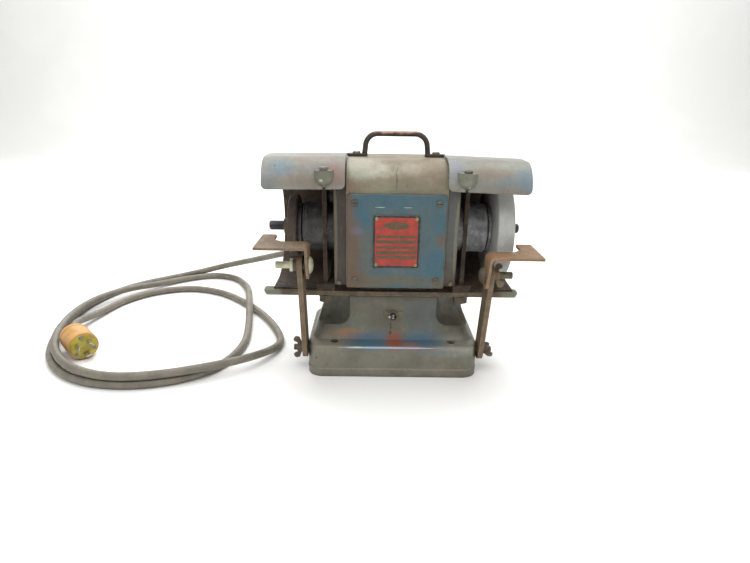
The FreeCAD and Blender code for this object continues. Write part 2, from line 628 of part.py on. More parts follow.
# ------------------------------------------------------------------ wheel guards and shields
SZ = D["shaft_height"]
RG = D["guard_radius"]
GS = D["guard_sheet"]
YB = -16.0
AY, AZ = -D["shield_axis_y"], D["shield_axis_z"]
for side, word in ((-1, "left"), (1, "right")):
    guard = new_body("wheel_guard_" + word)
    a, b = span(side, D["guard_in"], D["guard_in"] + D["guard_wall"])
    # inner side wall, straight at the front, round at the back, with the hole for the snout
    sk = sketch(guard, "YZ_Plane", "%s" % a)
    yf = -D["guard_front"]
    top = D["guard_top"]
    ztop = SZ + math.sqrt(RG * RG - YB * YB)
    start = math.degrees(math.atan2(ztop - SZ, YB))
    line(sk, (yf, bar_top), (yf, top))
    line(sk, (yf, top), (YB, top))
    line(sk, (YB, top), (YB, ztop))
    arc(sk, (0, SZ), RG, -90.0, start)
    line(sk, (0, SZ - RG), (yf, bar_top))
    ring(sk, 0, SZ, D["guard_bore"])
    pad(guard, sk, "dims.guard_wall")
    # sheet round the back of the wheel, ending flat on the bar
    a, b = span(side, D["guard_edge"], D["guard_out"])
    sk = sketch(guard, "YZ_Plane", "%s" % a)
    inner = RG - GS
    line(sk, (yf, bar_top), (0, SZ - RG))
    line(sk, (0, SZ - inner), (yf, bar_top + GS))
    line(sk, (yf, bar_top + GS), (yf, bar_top))
    arc(sk, (0, SZ), RG, -90.0, start)
    arc(sk, (0, SZ), inner, -90.0, start)
    ca, sa = math.cos(math.radians(start)), math.sin(math.radians(start))
    line(sk, (inner * ca, SZ + inner * sa), (RG * ca, SZ + RG * sa))
    pad(guard, sk, "dims.guard_out - dims.guard_edge")
    # foot taking the guard bolt, and the head carrying the shield lug
    a, b = span(side, 98.0, 128.0)
    sk = sketch(guard, "YZ_Plane", "%s" % a)
    outline(sk, [(-48.5, bar_top), (-24.0, bar_top), (-24.0, bar_top + 12.0, 3.0),
                 (-48.5, bar_top + 12.0, 3.0)])
    pad(guard, sk, "30")
    a, b = span(side, 96.0, 118.0)
    sk = sketch(guard, "YZ_Plane", "%s" % a)
    r = D["shield_radius"] - 2.0
    za = AZ + 4.0
    yl = AY - math.sqrt(r * r - 16.0)
    line(sk, (-30.0, za), (yl, za))
    arc(sk, (AY, AZ), r, 90.0, math.degrees(math.atan2(za - AZ, yl - AY)))
    line(sk, (AY, AZ + r), (-30.0, AZ + r))
    line(sk, (-30.0, AZ + r), (-30.0, za))
    pad(guard, sk, "22")
    sk = sketch(guard, "XY_Plane", "%s" % (bar_top - 1.0))
    ring(sk, side * D["bolt_x"], -D["bolt_y"], D["bolt_radius"])
    pocket(guard, sk, "12", reverse=True)

    shield = new_body("eye_shield_" + word)
    a, b = span(side, D["shield_in"], D["shield_in"] + D["shield_length"])
    ri = D["shield_radius"]
    ro = ri + D["shield_sheet"]
    zl = AZ + 2.0
    sk = sketch(shield, "YZ_Plane", "%s" % a)
    yi = AY - math.sqrt(ri * ri - 4.0)
    yo = AY - math.sqrt(ro * ro - 4.0)
    arc(sk, (AY, AZ), ri, 90.0, math.degrees(math.atan2(2.0, yi - AY)))
    arc(sk, (AY, AZ), ro, 90.0, math.degrees(math.atan2(2.0, yo - AY)))
    line(sk, (yi, zl), (yo, zl))
    line(sk, (AY, AZ + ro), (-D["shield_back"], AZ + ro))
    line(sk, (-D["shield_back"], AZ + ro), (-D["shield_back"], AZ + ri))
    line(sk, (-D["shield_back"], AZ + ri), (AY, AZ + ri))
    curved = pad(shield, sk, "dims.shield_length")
    round_front = fillet(shield, curved, "8",
                         lambda b_, e: b_.XLength < 0.01 and b_.ZLength < 0.01 and b_.YLength < 3.0)
    edge = side * (D["shield_in"] + D["shield_length"])
    fillet(shield, round_front, "9",
           lambda b_, e: abs(b_.XMin - edge) < 0.01 and b_.XLength < 0.01 and b_.YLength < 0.01
           and b_.YMin > -D["shield_back"] - 0.01)

    # half-round lug on the slope of the shield
    lug_x = D[word + "_lug_x"]
    lug = new_body("shield_lug_" + word)
    sk = sketch(lug, "XY_Plane", "dims.lug_low")
    ring(sk, side * lug_x, -D["lug_y"], D["lug_radius"])
    solid = pad(lug, sk, "dims.lug_top - dims.lug_low")
    fillet(lug, solid, "9", lambda b_, e: b_.ZMax < D["lug_low"] + 0.01)
    a, b = span(side, lug_x - 20.0, lug_x + 20.0)
    sk = sketch(lug, "YZ_Plane", "%s" % a)
    ring(sk, AY, AZ, ro)
    pocket(lug, sk, "40", reverse=True)
    sk = sketch(lug, "XY_Plane", "dims.lug_top + 1")
    ring(sk, side * lug_x, -D["lug_y"] - 4.2, 3.6)
    pocket(lug, sk, "30")
    sk = sketch(shield, "XY_Plane", "dims.lug_top + 1")
    ring(sk, side * lug_x, -D["lug_y"] - 4.2, 3.6)
    pocket(shield, sk, "32")

    screw = new_body("shield_screw_" + word)
    sk = sketch(screw, "XY_Plane", "dims.lug_top")
    x, y = side * lug_x, -D["lug_y"] - 4.2
    if side < 0:
        hexagon(sk, x, y, 12.0, 30.0)
        pad(screw, sk, "5")
    else:
        ring(sk, x, y, 6.2)
        head = pad(screw, sk, "4")
        fillet(screw, head, "2", lambda b_, e: b_.ZMin > D["lug_top"] + 3.9)
        sk = sketch(screw, "XY_Plane", "dims.lug_top + 5")
        box_outline(sk, x, y, 14.0, 1.5)
        pocket(screw, sk, "2.2")
    sk = sketch(screw, "XY_Plane", "dims.lug_top - 24")
    ring(sk, x, y, 3.5)
    pad(screw, sk, "24")
    # both shields have been bent: each is lifted at its inner end and droops outwards
    shift = -D["right_shift"] if side > 0 else 0.0
    pivot = V(side * D["shield_in"], 0, AZ + ri)
    turn = FreeCAD.Rotation(V(0, 1, 0), side * D[word + "_droop"])
    lift = V(shift, 0, D[word + "_raise"])
    move = FreeCAD.Placement(pivot + lift, turn).multiply(
        FreeCAD.Placement(pivot * -1, FreeCAD.Rotation()))
    for piece in (shield, lug, screw):
        piece.Placement = move
    sk = sketch(guard, "XY_Plane", "%s" % (AZ + 60.0))
    ring(sk, x + shift - side * 0.4, y, 4.6)
    pocket(guard, sk, "60")

# ------------------------------------------------------------------ carrying handle
handle = new_body("handle")
spine = sketch(handle, "XZ_Plane")
HF, HT, HH, HB = D["handle_foot"], D["handle_top"], D["handle_half"], D["handle_bend"]
low = D["motor_top"] + 2.0
leg = math.atan2(HT - low, HF - HH)
ux, uz = math.cos(leg), -math.sin(leg)
# distance from the corner of the bar's centre line to the ends of its bend
t_len = HB / math.tan((math.pi - leg) / 2.0)
for s in (-1, 1):
    side_pt = (s * (HH + ux * t_len), HT + uz * t_len)
    line(spine, (s * HF, low), side_pt)
    centre = (s * (HH - t_len), HT - HB)
    a_side = math.degrees(math.atan2(side_pt[1] - centre[1], side_pt[0] - centre[0]))
    if s > 0:
        arc(spine, centre, HB, a_side, 90.0)
    else:
        arc(spine, centre, HB, 90.0, a_side % 360.0)
line(spine, (-(HH - t_len), HT), (HH - t_len, HT))
section = sketch(handle, "XY_Plane", "%s" % low)
ring(section, -HF, 0, D["handle_bar"])
pipe = handle.newObject("PartDesign::AdditivePipe", "handle_pipe")
pipe.Profile = section
pipe.Spine = (spine, [])
doc.recompute()
sk = sketch(handle, "XY_Plane", "dims.motor_top")
for s in (-1, 1):
    box_outline(sk, s * 62.5, 0, 33.0, 17.0, 7.5)
feet = pad(handle, sk, "dims.foot_thick")
sk = sketch(handle, "XY_Plane", "dims.motor_top - 1")
for s in (-1, 1):
    ring(sk, s * D["foot_screw_x"], 0, 3.1)
pocket(handle, sk, "8", reverse=True)

hs = new_body("handle_screws")
sk = sketch(hs, "XY_Plane", "dims.motor_top + dims.foot_thick")
for s in (-1, 1):
    ring(sk, s * D["foot_screw_x"], 0, 6.2)
heads = pad(hs, sk, "3.8")
fillet(hs, heads, "2.4", lambda b, e: b.ZMin > D["motor_top"] + D["foot_thick"] + 3.7)
sk = sketch(hs, "XY_Plane", "dims.motor_top + dims.foot_thick + 5")
for s in (-1, 1):
    box_outline(sk, s * D["foot_screw_x"], 0, 14.0, 1.4)
pocket(hs, sk, "2.8")
sk = sketch(hs, "XY_Plane", "dims.motor_top - 9")
for s in (-1, 1):
    ring(sk, s * D["foot_screw_x"], 0, 3.0)
pad(hs, sk, "9 + dims.foot_thick")
sk = sketch(housing, "XY_Plane", "dims.motor_top + 1")
for s in (-1, 1):
    ring(sk, s * D["foot_screw_x"], 0, 3.05)
pocket(housing, sk, "8")

# ------------------------------------------------------------------ rest arms and rests
PY, PZ = -D["arm_pivot_y"], D["arm_pivot_z"]
TY = -D["arm_top_y"]


def stadium(sk, p, q, r):
    """Flat bar with round ends between two centres."""
    along = math.degrees(math.atan2(q[1] - p[1], q[0] - p[0]))
    arc(sk, q, r, along - 90.0, along + 90.0)
    arc(sk, p, r, along + 90.0, along + 270.0)
    for turn in (-90.0, 90.0):
        dx = r * math.cos(math.radians(along + turn))
        dy = r * math.sin(math.radians(along + turn))
        line(sk, (p[0] + dx, p[1] + dy), (q[0] + dx, q[1] + dy))


def wing_nut(label, side, start, y, z, bore, turn):
    """Wing nut whose face is at X = side*start; turn is the wings' angle about the bolt."""
    b = new_body(label)
    sk = sketch(b, "XY_Plane")
    outline(sk, [(0, bore), (0, 8.6, 0.8), (9.5, 6.9, 0.8), (9.5, bore)])
    revolve(b, sk)
    sk = sketch(b, "XY_Plane")
    w = D["wing_span"]
    for s in (-1, 1):
        outline(sk, [(1.4, s * 6.3), (3.2, s * 11.0), (5.5, s * (w - 2.0), 4.0), (13.5, s * w, 4.5),
                     (16.5, s * 12.5, 3.0), (9.0, s * 8.6), (8.6, s * 6.3)])
    wings = pad(b, sk, "3.4", middle=True)
    aim = FreeCAD.Rotation(V(0, 0, 1), 0.0 if side > 0 else 180.0)
    spin = FreeCAD.Rotation(V(1, 0, 0), turn)
    b.Placement = FreeCAD.Placement(V(side * start, y, z), spin.multiply(aim))
    return b


studs = new_body("arm_studs")
sk = sketch(studs, "XY_Plane")
for side in (-1, 1):
    a, b = span(side, 124.0, 166.0)
    c, d = span(side, 142.0, 142.6)
    r = D["stud_radius"]
    # stud with a thin collar between the plinth and the arm
    outline(sk, [(a, 0), (a, r), (c, r), (c, 10.0), (d, 10.0), (d, r), (b, r), (b, 0)])
turned = revolve(studs, sk)
studs.Placement = FreeCAD.Placement(V(0, PY, PZ), FreeCAD.Rotation())

arm_out = D["arm_in"] + D["arm_thick"]
for side, word in ((-1, "left"), (1, "right")):
    bz = D["%s_bolt_z" % word]
    arm = new_body("rest_arm_" + word)
    a, b = span(side, D["arm_in"], arm_out)
    sk = sketch(arm, "YZ_Plane", "%s" % a)
    stadium(sk, (PY, PZ), (TY, bz), D["arm_radius"])
    ring(sk, PY, PZ, D["stud_radius"] + D["run_gap"])
    ring(sk, TY, bz, D["rest_bolt"] + D["run_gap"])
    flat = pad(arm, sk, "dims.arm_thick")

    # rest: flat plate notched for the wheel, with one leg bent down to the bolt
    rest = new_body("tool_rest_" + word)
    top = bz + D[word + "_rise"]
    leg_x, out, thick = D[word + "_leg"], D[word + "_out"], D["rest_thick"]
    yf, yb, yn, ear = -D["rest_front"], -D["rest_back"], -D[word + "_notch"], D[word + "_ear"]
    bend = D[word + "_bend"]
    sk = sketch(rest, "XY_Plane", "%s" % (top - thick))
    outline(sk, [(side * (leg_x + bend), yf), (side * out, yf), (side * out, yb, 2.0),
                 (side * ear, yb, 4.0), (side * ear, yn + 12.0), (side * (ear - 13.0), yn),
                 (side * (leg_x + bend), yn)])
    pad(rest, sk, "dims.rest_thick")
    sk = sketch(rest, "XZ_Plane", "%s" % -yn)
    outline(sk, [(side * leg_x, top - bend - 8.0), (side * leg_x, top, bend),
                 (side * (leg_x + bend + 8.0), top), (side * (leg_x + bend + 8.0), top - thick),
                 (side * (leg_x + thick), top - thick, bend - thick),
                 (side * (leg_x + thick), top - bend - 8.0)])
    pad(rest, sk, "%s" % (yn - yf))
    a, b = span(side, leg_x, leg_x + thick)
    sk = sketch(rest, "YZ_Plane", "%s" % a)
    outline(sk, [(yf, top - bend), (yn, top - bend), (yn + 2.0, bz - 20.0, 9.0),
                 (TY - 13.0, bz - 20.0, 9.0), (yf, top - 22.0)])
    pad(rest, sk, "dims.rest_thick")
    sk = sketch(rest, "YZ_Plane", "%s" % (a - 1.0))
    ring(sk, TY, bz, D["rest_bolt"])
    pocket(rest, sk, "10", reverse=True)

    bolt = new_body("rest_bolt_" + word)
    sk = sketch(bolt, "XY_Plane")
    far = D[word + "_bolt_end"]
    r = D["rest_bolt"]
    xh = side * leg_x
    # domed carriage head, then the shank
    dome = side * D[word + "_dome"]
    xs = [(xh, r), (xh, 13.3), (xh - 0.38 * dome, 13.0, 1.2), (xh - 0.76 * dome, 9.6, 2.5),
          (xh - 0.96 * dome, 4.5, 3.0), (xh - dome, 0.0), (side * far, 0.0),
          (side * far, r - 0.8), (side * (far - 0.8), r)]
    outline(sk, xs)
    revolve(bolt, sk)
    bolt.Placement = FreeCAD.Placement(V(0, TY, bz), FreeCAD.Rotation())

bz = D["left_bolt_z"]
spacer = new_body("rest_spacer_left")
sk = sketch(spacer, "XY_Plane")
s0 = arm_out + 0.5
outline(sk, [(-s0, D["rest_bolt"]), (-s0, 9.0), (-s0 - 6.5, 9.0), (-s0 - 6.5, D["rest_bolt"])])
outline(sk, [(-D["arm_in"] + 0.2, D["rest_bolt"]), (-D["arm_in"] + 0.2, 9.0),
             (-D["left_leg"] - D["rest_thick"] - 0.1, 9.0),
             (-D["left_leg"] - D["rest_thick"] - 0.1, D["rest_bolt"])])
revolve(spacer, sk)
spacer.Placement = FreeCAD.Placement(V(0, TY, bz), FreeCAD.Rotation())
nut = new_body("rest_nut_left")
sk = sketch(nut, "YZ_Plane", "%s" % (-s0 - 6.5 - 5.0))
hexagon(sk, TY, bz, 18.0, 0.0)
ring(sk, TY, bz, D["rest_bolt"])
pad(nut, sk, "5")

clear = D["run_gap"]
wing_nut("pivot_wing_nut_left", -1, arm_out + 0.4, PY, PZ, D["stud_radius"] + clear, 90.0)
wing_nut("pivot_wing_nut_right", 1, arm_out + 0.4, PY, PZ, D["stud_radius"] + clear, 8.0)
wing_nut("rest_wing_nut_right", 1, arm_out + 0.4, TY, D["right_bolt_z"],
         D["rest_bolt"] + clear, 55.0)

# ------------------------------------------------------------------ supply cord and plug
gland = new_body("cord_gland")
sk = sketch(gland, "XY_Plane")
outline(sk, [(-10.0, 7.0), (-10.0, 11.2), (-7.6, 11.2), (-7.6, 10.1), (0.0, 10.1), (0.0, 13.2, 1.0),
             (5.0, 13.2, 1.0), (6.0, 10.8), (16.0, 9.4, 1.0), (16.0, 7.0)])
revolve(gland, sk)
gland.Placement = FreeCAD.Placement(V(-55.0, MY, 172.0), FreeCAD.Rotation(V(0, 0, 1), 90.0))

CORD = D["cord_radius"]
ROUTE = [
    # out of the back of the motor, round to the left and down to the table
    (-55, 88, 172), (-55, 132, 172), (-86, 176, 164), (-145, 205, 145), (-215, 235, 121),
    (-284, 302, 87), (-350, 372, 54), (-410, 405, 32), (-470, 405, 15.5),
    # first turn of the coil; on the right it rises once to pass over the end of the second turn
    (-532, 383, 7), (-588, 337, 7), (-628, 282, 7), (-652, 205, 7), (-653, 120, 7), (-632, 25, 7),
    (-592, -60, 7), (-520, -121, 7), (-430, -138, 7), (-345, -118, 7), (-288, -66, 7),
    (-270, 15, 7), (-281, 95, 7), (-294, 165, 22.5), (-314, 250, 22.5), (-339, 330, 7),
    (-377, 386, 7), (-434, 405, 7),
    # second turn; it leans on top of the first round the left and the front
    (-498, 376, 7), (-552, 325, 9), (-600, 268, 18), (-634, 195, 21.8), (-641, 115, 21.8),
    (-623, 25, 21.8), (-588, -46, 21.8), (-532, -106, 21.8), (-455, -137, 21.8), (-375, -127, 21.8),
    (-300, -97, 21.8), (-240, -60, 20), (-200, 12, 7), (-220, 78, 7), (-262, 155, 7),
    (-322, 226, 7), (-386, 284, 7), (-465, 309, 7), (-540, 281, 7),
    # in to the plug, the last run along the plug's own axis
    (-588, 222, 7), (-605, 142, 9), (-618.3, 47.8, 25), (-548.7, -26.8, 25),
]


def tangent_route(points):
    """Straight runs joined by tangent arcs: edges of one smooth wire, the least bend radius, length."""
    P = [V(*p) for p in points]
    edges = []
    least = 1e9
    here = P[0]
    for i in range(1, len(P) - 1):
        back = P[i - 1] - P[i]
        ahead = P[i + 1] - P[i]
        run = min(back.Length, ahead.Length)
        u = V(back)
        u.normalize()
        w = V(ahead)
        w.normalize()
        turn = math.pi - u.getAngle(w)
        radius = 0.45 * run / math.tan(turn / 2.0)
        least = min(least, radius)
        t = radius * math.tan(turn / 2.0)
        p1 = P[i] + u * t
        p2 = P[i] + w * t
        mid = u + w
        mid.normalize()
        centre = P[i] + mid * (radius / math.cos(turn / 2.0))
        top = centre - mid * radius
        edges.append(Part.LineSegment(here, p1).toShape())
        edges.append(Part.Arc(p1, top, p2).toShape())
        here = p2
    edges.append(Part.LineSegment(here, P[-1]).toShape())
    wire = Part.Wire(edges)
    return wire, least, wire.Length


wire, least, length = tangent_route(ROUTE)
start = V(*ROUTE[0])
aim = V(*ROUTE[1]) - start
circle = Part.Wire([Part.Circle(start, aim, CORD).toShape()])
tube = wire.makePipeShell([circle], True, False)
cord = doc.addObject("Part::Feature", "power_cord")
cord.Label = "power_cord"
cord.Shape = tube
cord.Placement = FreeCAD.Placement()
NODES.append(cord)
section = math.pi * CORD * CORD
print("cord radius %.2f least bend radius %.1f length %.1f" % (CORD, least, length))
print("cord volume %.0f, section x length %.0f" % (tube.Volume, section * length))

# plug: axis level, lying on the table, face towards the operator
PX, PYY = D["plug_x"], D["plug_y"]
turn = math.degrees(math.atan2(-0.731, 0.682))
PLUG = FreeCAD.Placement(V(PX, PYY, D["plug_radius"]), FreeCAD.Rotation(V(0, 0, 1), turn))
PR, PD = D["plug_radius"], D["plug_depth"]
shell = new_body("plug_shell")
sk = sketch(shell, "XY_Plane")
outline(sk, [(-PD - 10.0, 7.3), (-PD - 10.0, 12.5, 1.5), (-PD, 15.5), (-PD, PR - 1.0, 3.0),
             (-PD + 13.2, PR), (-PD + 13.2, PR - 1.2), (-PD + 14.6, PR - 1.2), (-PD + 14.6, PR),
             (-2.0, PR), (0.0, PR - 1.4), (0.0, PR - 3.2), (-9.0, PR - 3.2), (-9.0, 7.3)])
revolve(shell, sk)
shell.Placement = PLUG

face = new_body("plug_face")
sk = sketch(face, "YZ_Plane", "-9")
ring(sk, 0, 0, PR - 3.2)
disc_pad = pad(face, sk, "10.5")
fillet(face, disc_pad, "1.2", lambda b, e: b.XMin > 1.4)
face.Placement = PLUG

# locking blades on a 25 mm circle: two plain, one hooked
blades = new_body("plug_blades")
sk = sketch(blades, "YZ_Plane", "1.5")
for ang in (40.0, 160.0, 280.0):
    lo, hi = ang - 20.0, ang + 20.0
    arc(sk, (0, 0), 13.4, lo, hi)
    arc(sk, (0, 0), 11.4, lo, hi)
    for e in (lo, hi):
        c, s = math.cos(math.radians(e)), math.sin(math.radians(e))
        line(sk, (11.4 * c, 11.4 * s), (13.4 * c, 13.4 * s))
pad(blades, sk, "16")
blades.Placement = PLUG

plug_screws = new_body("plug_screws")
sk = sketch(plug_screws, "YZ_Plane", "1.5")
for ang in (100.0, 220.0, 340.0):
    ring(sk, 17.5 * math.cos(math.radians(ang)), 17.5 * math.sin(math.radians(ang)), 3.0)
heads = pad(plug_screws, sk, "1.6")
sk = sketch(plug_screws, "YZ_Plane", "5")
for ang in (100.0, 220.0, 340.0):
    box_outline(sk, 17.5 * math.cos(math.radians(ang)), 17.5 * math.sin(math.radians(ang)), 8.0, 1.0)
pocket(plug_screws, sk, "2.6")
plug_screws.Placement = PLUG

# ------------------------------------------------------------------ checks and files
doc.recompute()
bad = []
for obj in doc.Objects:
    if any(word in ("Invalid", "Error") for word in obj.State):
        bad.append(obj.Name + " " + str(obj.State))
for node in NODES:
    if node.Shape.isNull() or not node.Shape.isValid() or not node.Shape.Solids:
        bad.append(node.Label + " shape")
labels = [node.Label for node in NODES]
if len(set(labels)) != len(labels):
    bad.append("labels repeat")
if bad:
    raise RuntimeError("; ".join(bad))
os.makedirs("parts", exist_ok=True)
for node in NODES:
    node.Shape.exportStep("parts/%s.step" % node.Label)
    b = node.Shape.BoundBox
    print("%-24s solids %d  X %.1f..%.1f  Y %.1f..%.1f  Z %.1f..%.1f  V %.0f" % (
        node.Label, len(node.Shape.Solids), b.XMin, b.XMax, b.YMin, b.YMax, b.ZMin, b.ZMax,
        node.Shape.Volume))
print(len(NODES), "nodes")
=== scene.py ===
"""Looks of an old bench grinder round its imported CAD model: paint, rust, cord, plug, plate."""

import math

import bmesh
import bpy
from mathutils import Matrix, Vector


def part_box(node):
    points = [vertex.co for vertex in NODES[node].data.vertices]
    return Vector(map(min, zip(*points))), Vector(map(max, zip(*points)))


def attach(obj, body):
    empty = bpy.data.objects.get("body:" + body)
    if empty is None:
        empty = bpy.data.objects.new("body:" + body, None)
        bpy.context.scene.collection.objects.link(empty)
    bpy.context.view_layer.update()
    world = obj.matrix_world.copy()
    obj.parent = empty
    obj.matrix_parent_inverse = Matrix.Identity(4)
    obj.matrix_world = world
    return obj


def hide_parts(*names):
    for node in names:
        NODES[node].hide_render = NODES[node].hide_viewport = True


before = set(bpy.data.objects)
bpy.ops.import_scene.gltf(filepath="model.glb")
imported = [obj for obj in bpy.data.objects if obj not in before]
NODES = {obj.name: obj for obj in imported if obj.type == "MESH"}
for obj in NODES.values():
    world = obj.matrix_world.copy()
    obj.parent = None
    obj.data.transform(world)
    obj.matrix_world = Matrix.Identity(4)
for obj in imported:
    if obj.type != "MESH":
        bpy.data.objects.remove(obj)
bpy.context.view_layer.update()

SPINDLE_HEIGHT = 0.238   # metres above the ground
PAPER_THIN = 0.00012     # metres, printed ink or paint standing on a plate


# ------------------------------------------------------------------ camera and light
LENS, SENSOR = 25.16, 36.0                  # millimetres
CAMERA_PLACE = (-0.0381, -0.8645, 0.4483)   # metres
CAMERA_ANGLES = (19.67, 0.91, 0.48)         # degrees: tipped down, rolled, turned right

AIM = (0.0, 0.0, 0.2)
LIGHTS = (
    # name, place, point it faces, its two sides, watts
    ("key", (-0.7, -1.6, 2.5), AIM, (1.8, 1.4), 34.0),
    ("fill", (1.9, -1.3, 1.2), AIM, (1.4, 1.4), 9.0),
    ("top", (0.1, 0.4, 2.4), AIM, (2.2, 1.6), 46.0),
    ("back", (-1.2, 2.0, 1.3), AIM, (1.6, 1.2), 14.0),
    ("wash", (0.0, 1.9, 2.6), (0.0, 3.4, 0.3), (4.0, 0.6), 75.0),
)
STUDIO_TONE = (0.93, 0.93, 0.92, 1.0)
STUDIO_STRENGTH = 0.56


def look_camera():
    """Camera in front of the grinder, above it and looking down."""
    pitch, roll, yaw = (math.radians(a) for a in CAMERA_ANGLES)
    ahead = Vector((math.sin(yaw), math.cos(yaw), 0.0))
    aside = Vector((math.cos(yaw), -math.sin(yaw), 0.0))
    lift = Vector((0.0, 0.0, 1.0))
    forward = ahead * math.cos(pitch) - lift * math.sin(pitch)
    upright = ahead * math.sin(pitch) + lift * math.cos(pitch)
    right = aside * math.cos(roll) + upright * math.sin(roll)
    up = upright * math.cos(roll) - aside * math.sin(roll)
    data = bpy.data.cameras.new("camera")
    data.lens = LENS
    data.sensor_width = SENSOR
    data.clip_start = 0.01
    cam = bpy.data.objects.new("camera", data)
    turn = Matrix((right, up, -forward)).transposed()
    cam.matrix_world = Matrix.Translation(CAMERA_PLACE) @ turn.to_4x4()
    bpy.context.scene.collection.objects.link(cam)
    bpy.context.scene.camera = cam


def area_light(name, place, aim, size, watts):
    data = bpy.data.lights.new(name, "AREA")
    data.shape = "RECTANGLE"
    data.size, data.size_y = size
    data.energy = watts
    lamp = bpy.data.objects.new(name, data)
    lamp.location = place
    lamp.rotation_euler = (Vector(aim) - Vector(place)).to_track_quat("-Z", "Y").to_euler()
    bpy.context.scene.collection.objects.link(lamp)


look_camera()
for light in LIGHTS:
    area_light(*light)
world = bpy.data.worlds.new("studio")
world.use_nodes = True
world.node_tree.nodes["Background"].inputs["Color"].default_value = STUDIO_TONE
world.node_tree.nodes["Background"].inputs["Strength"].default_value = STUDIO_STRENGTH
bpy.context.scene.world = world
bpy.context.scene.view_settings.view_transform = "Standard"


# ------------------------------------------------------------------ materials
RAY_SAMPLES = 4       # rays that look for edges and corners
PATCH_GRAIN = 0.010   # metres, size of the ripples in a patch's ragged edge
CRISP = 0.004         # metres, patches thinner than this keep a hard edge
CRACK_DRIFT = 0.008   # metres, how far a crack strays from side to side
CRACK_FADE = 0.004    # metres, length over which a crack's ends die out


def rgb(red, green, blue):
    """A display colour, 0 to 255, as linear light."""
    out = []
    for v in (red / 255.0, green / 255.0, blue / 255.0):
        out.append(v / 12.92 if v <= 0.04045 else ((v + 0.055) / 1.055) ** 2.4)
    return (out[0], out[1], out[2], 1.0)


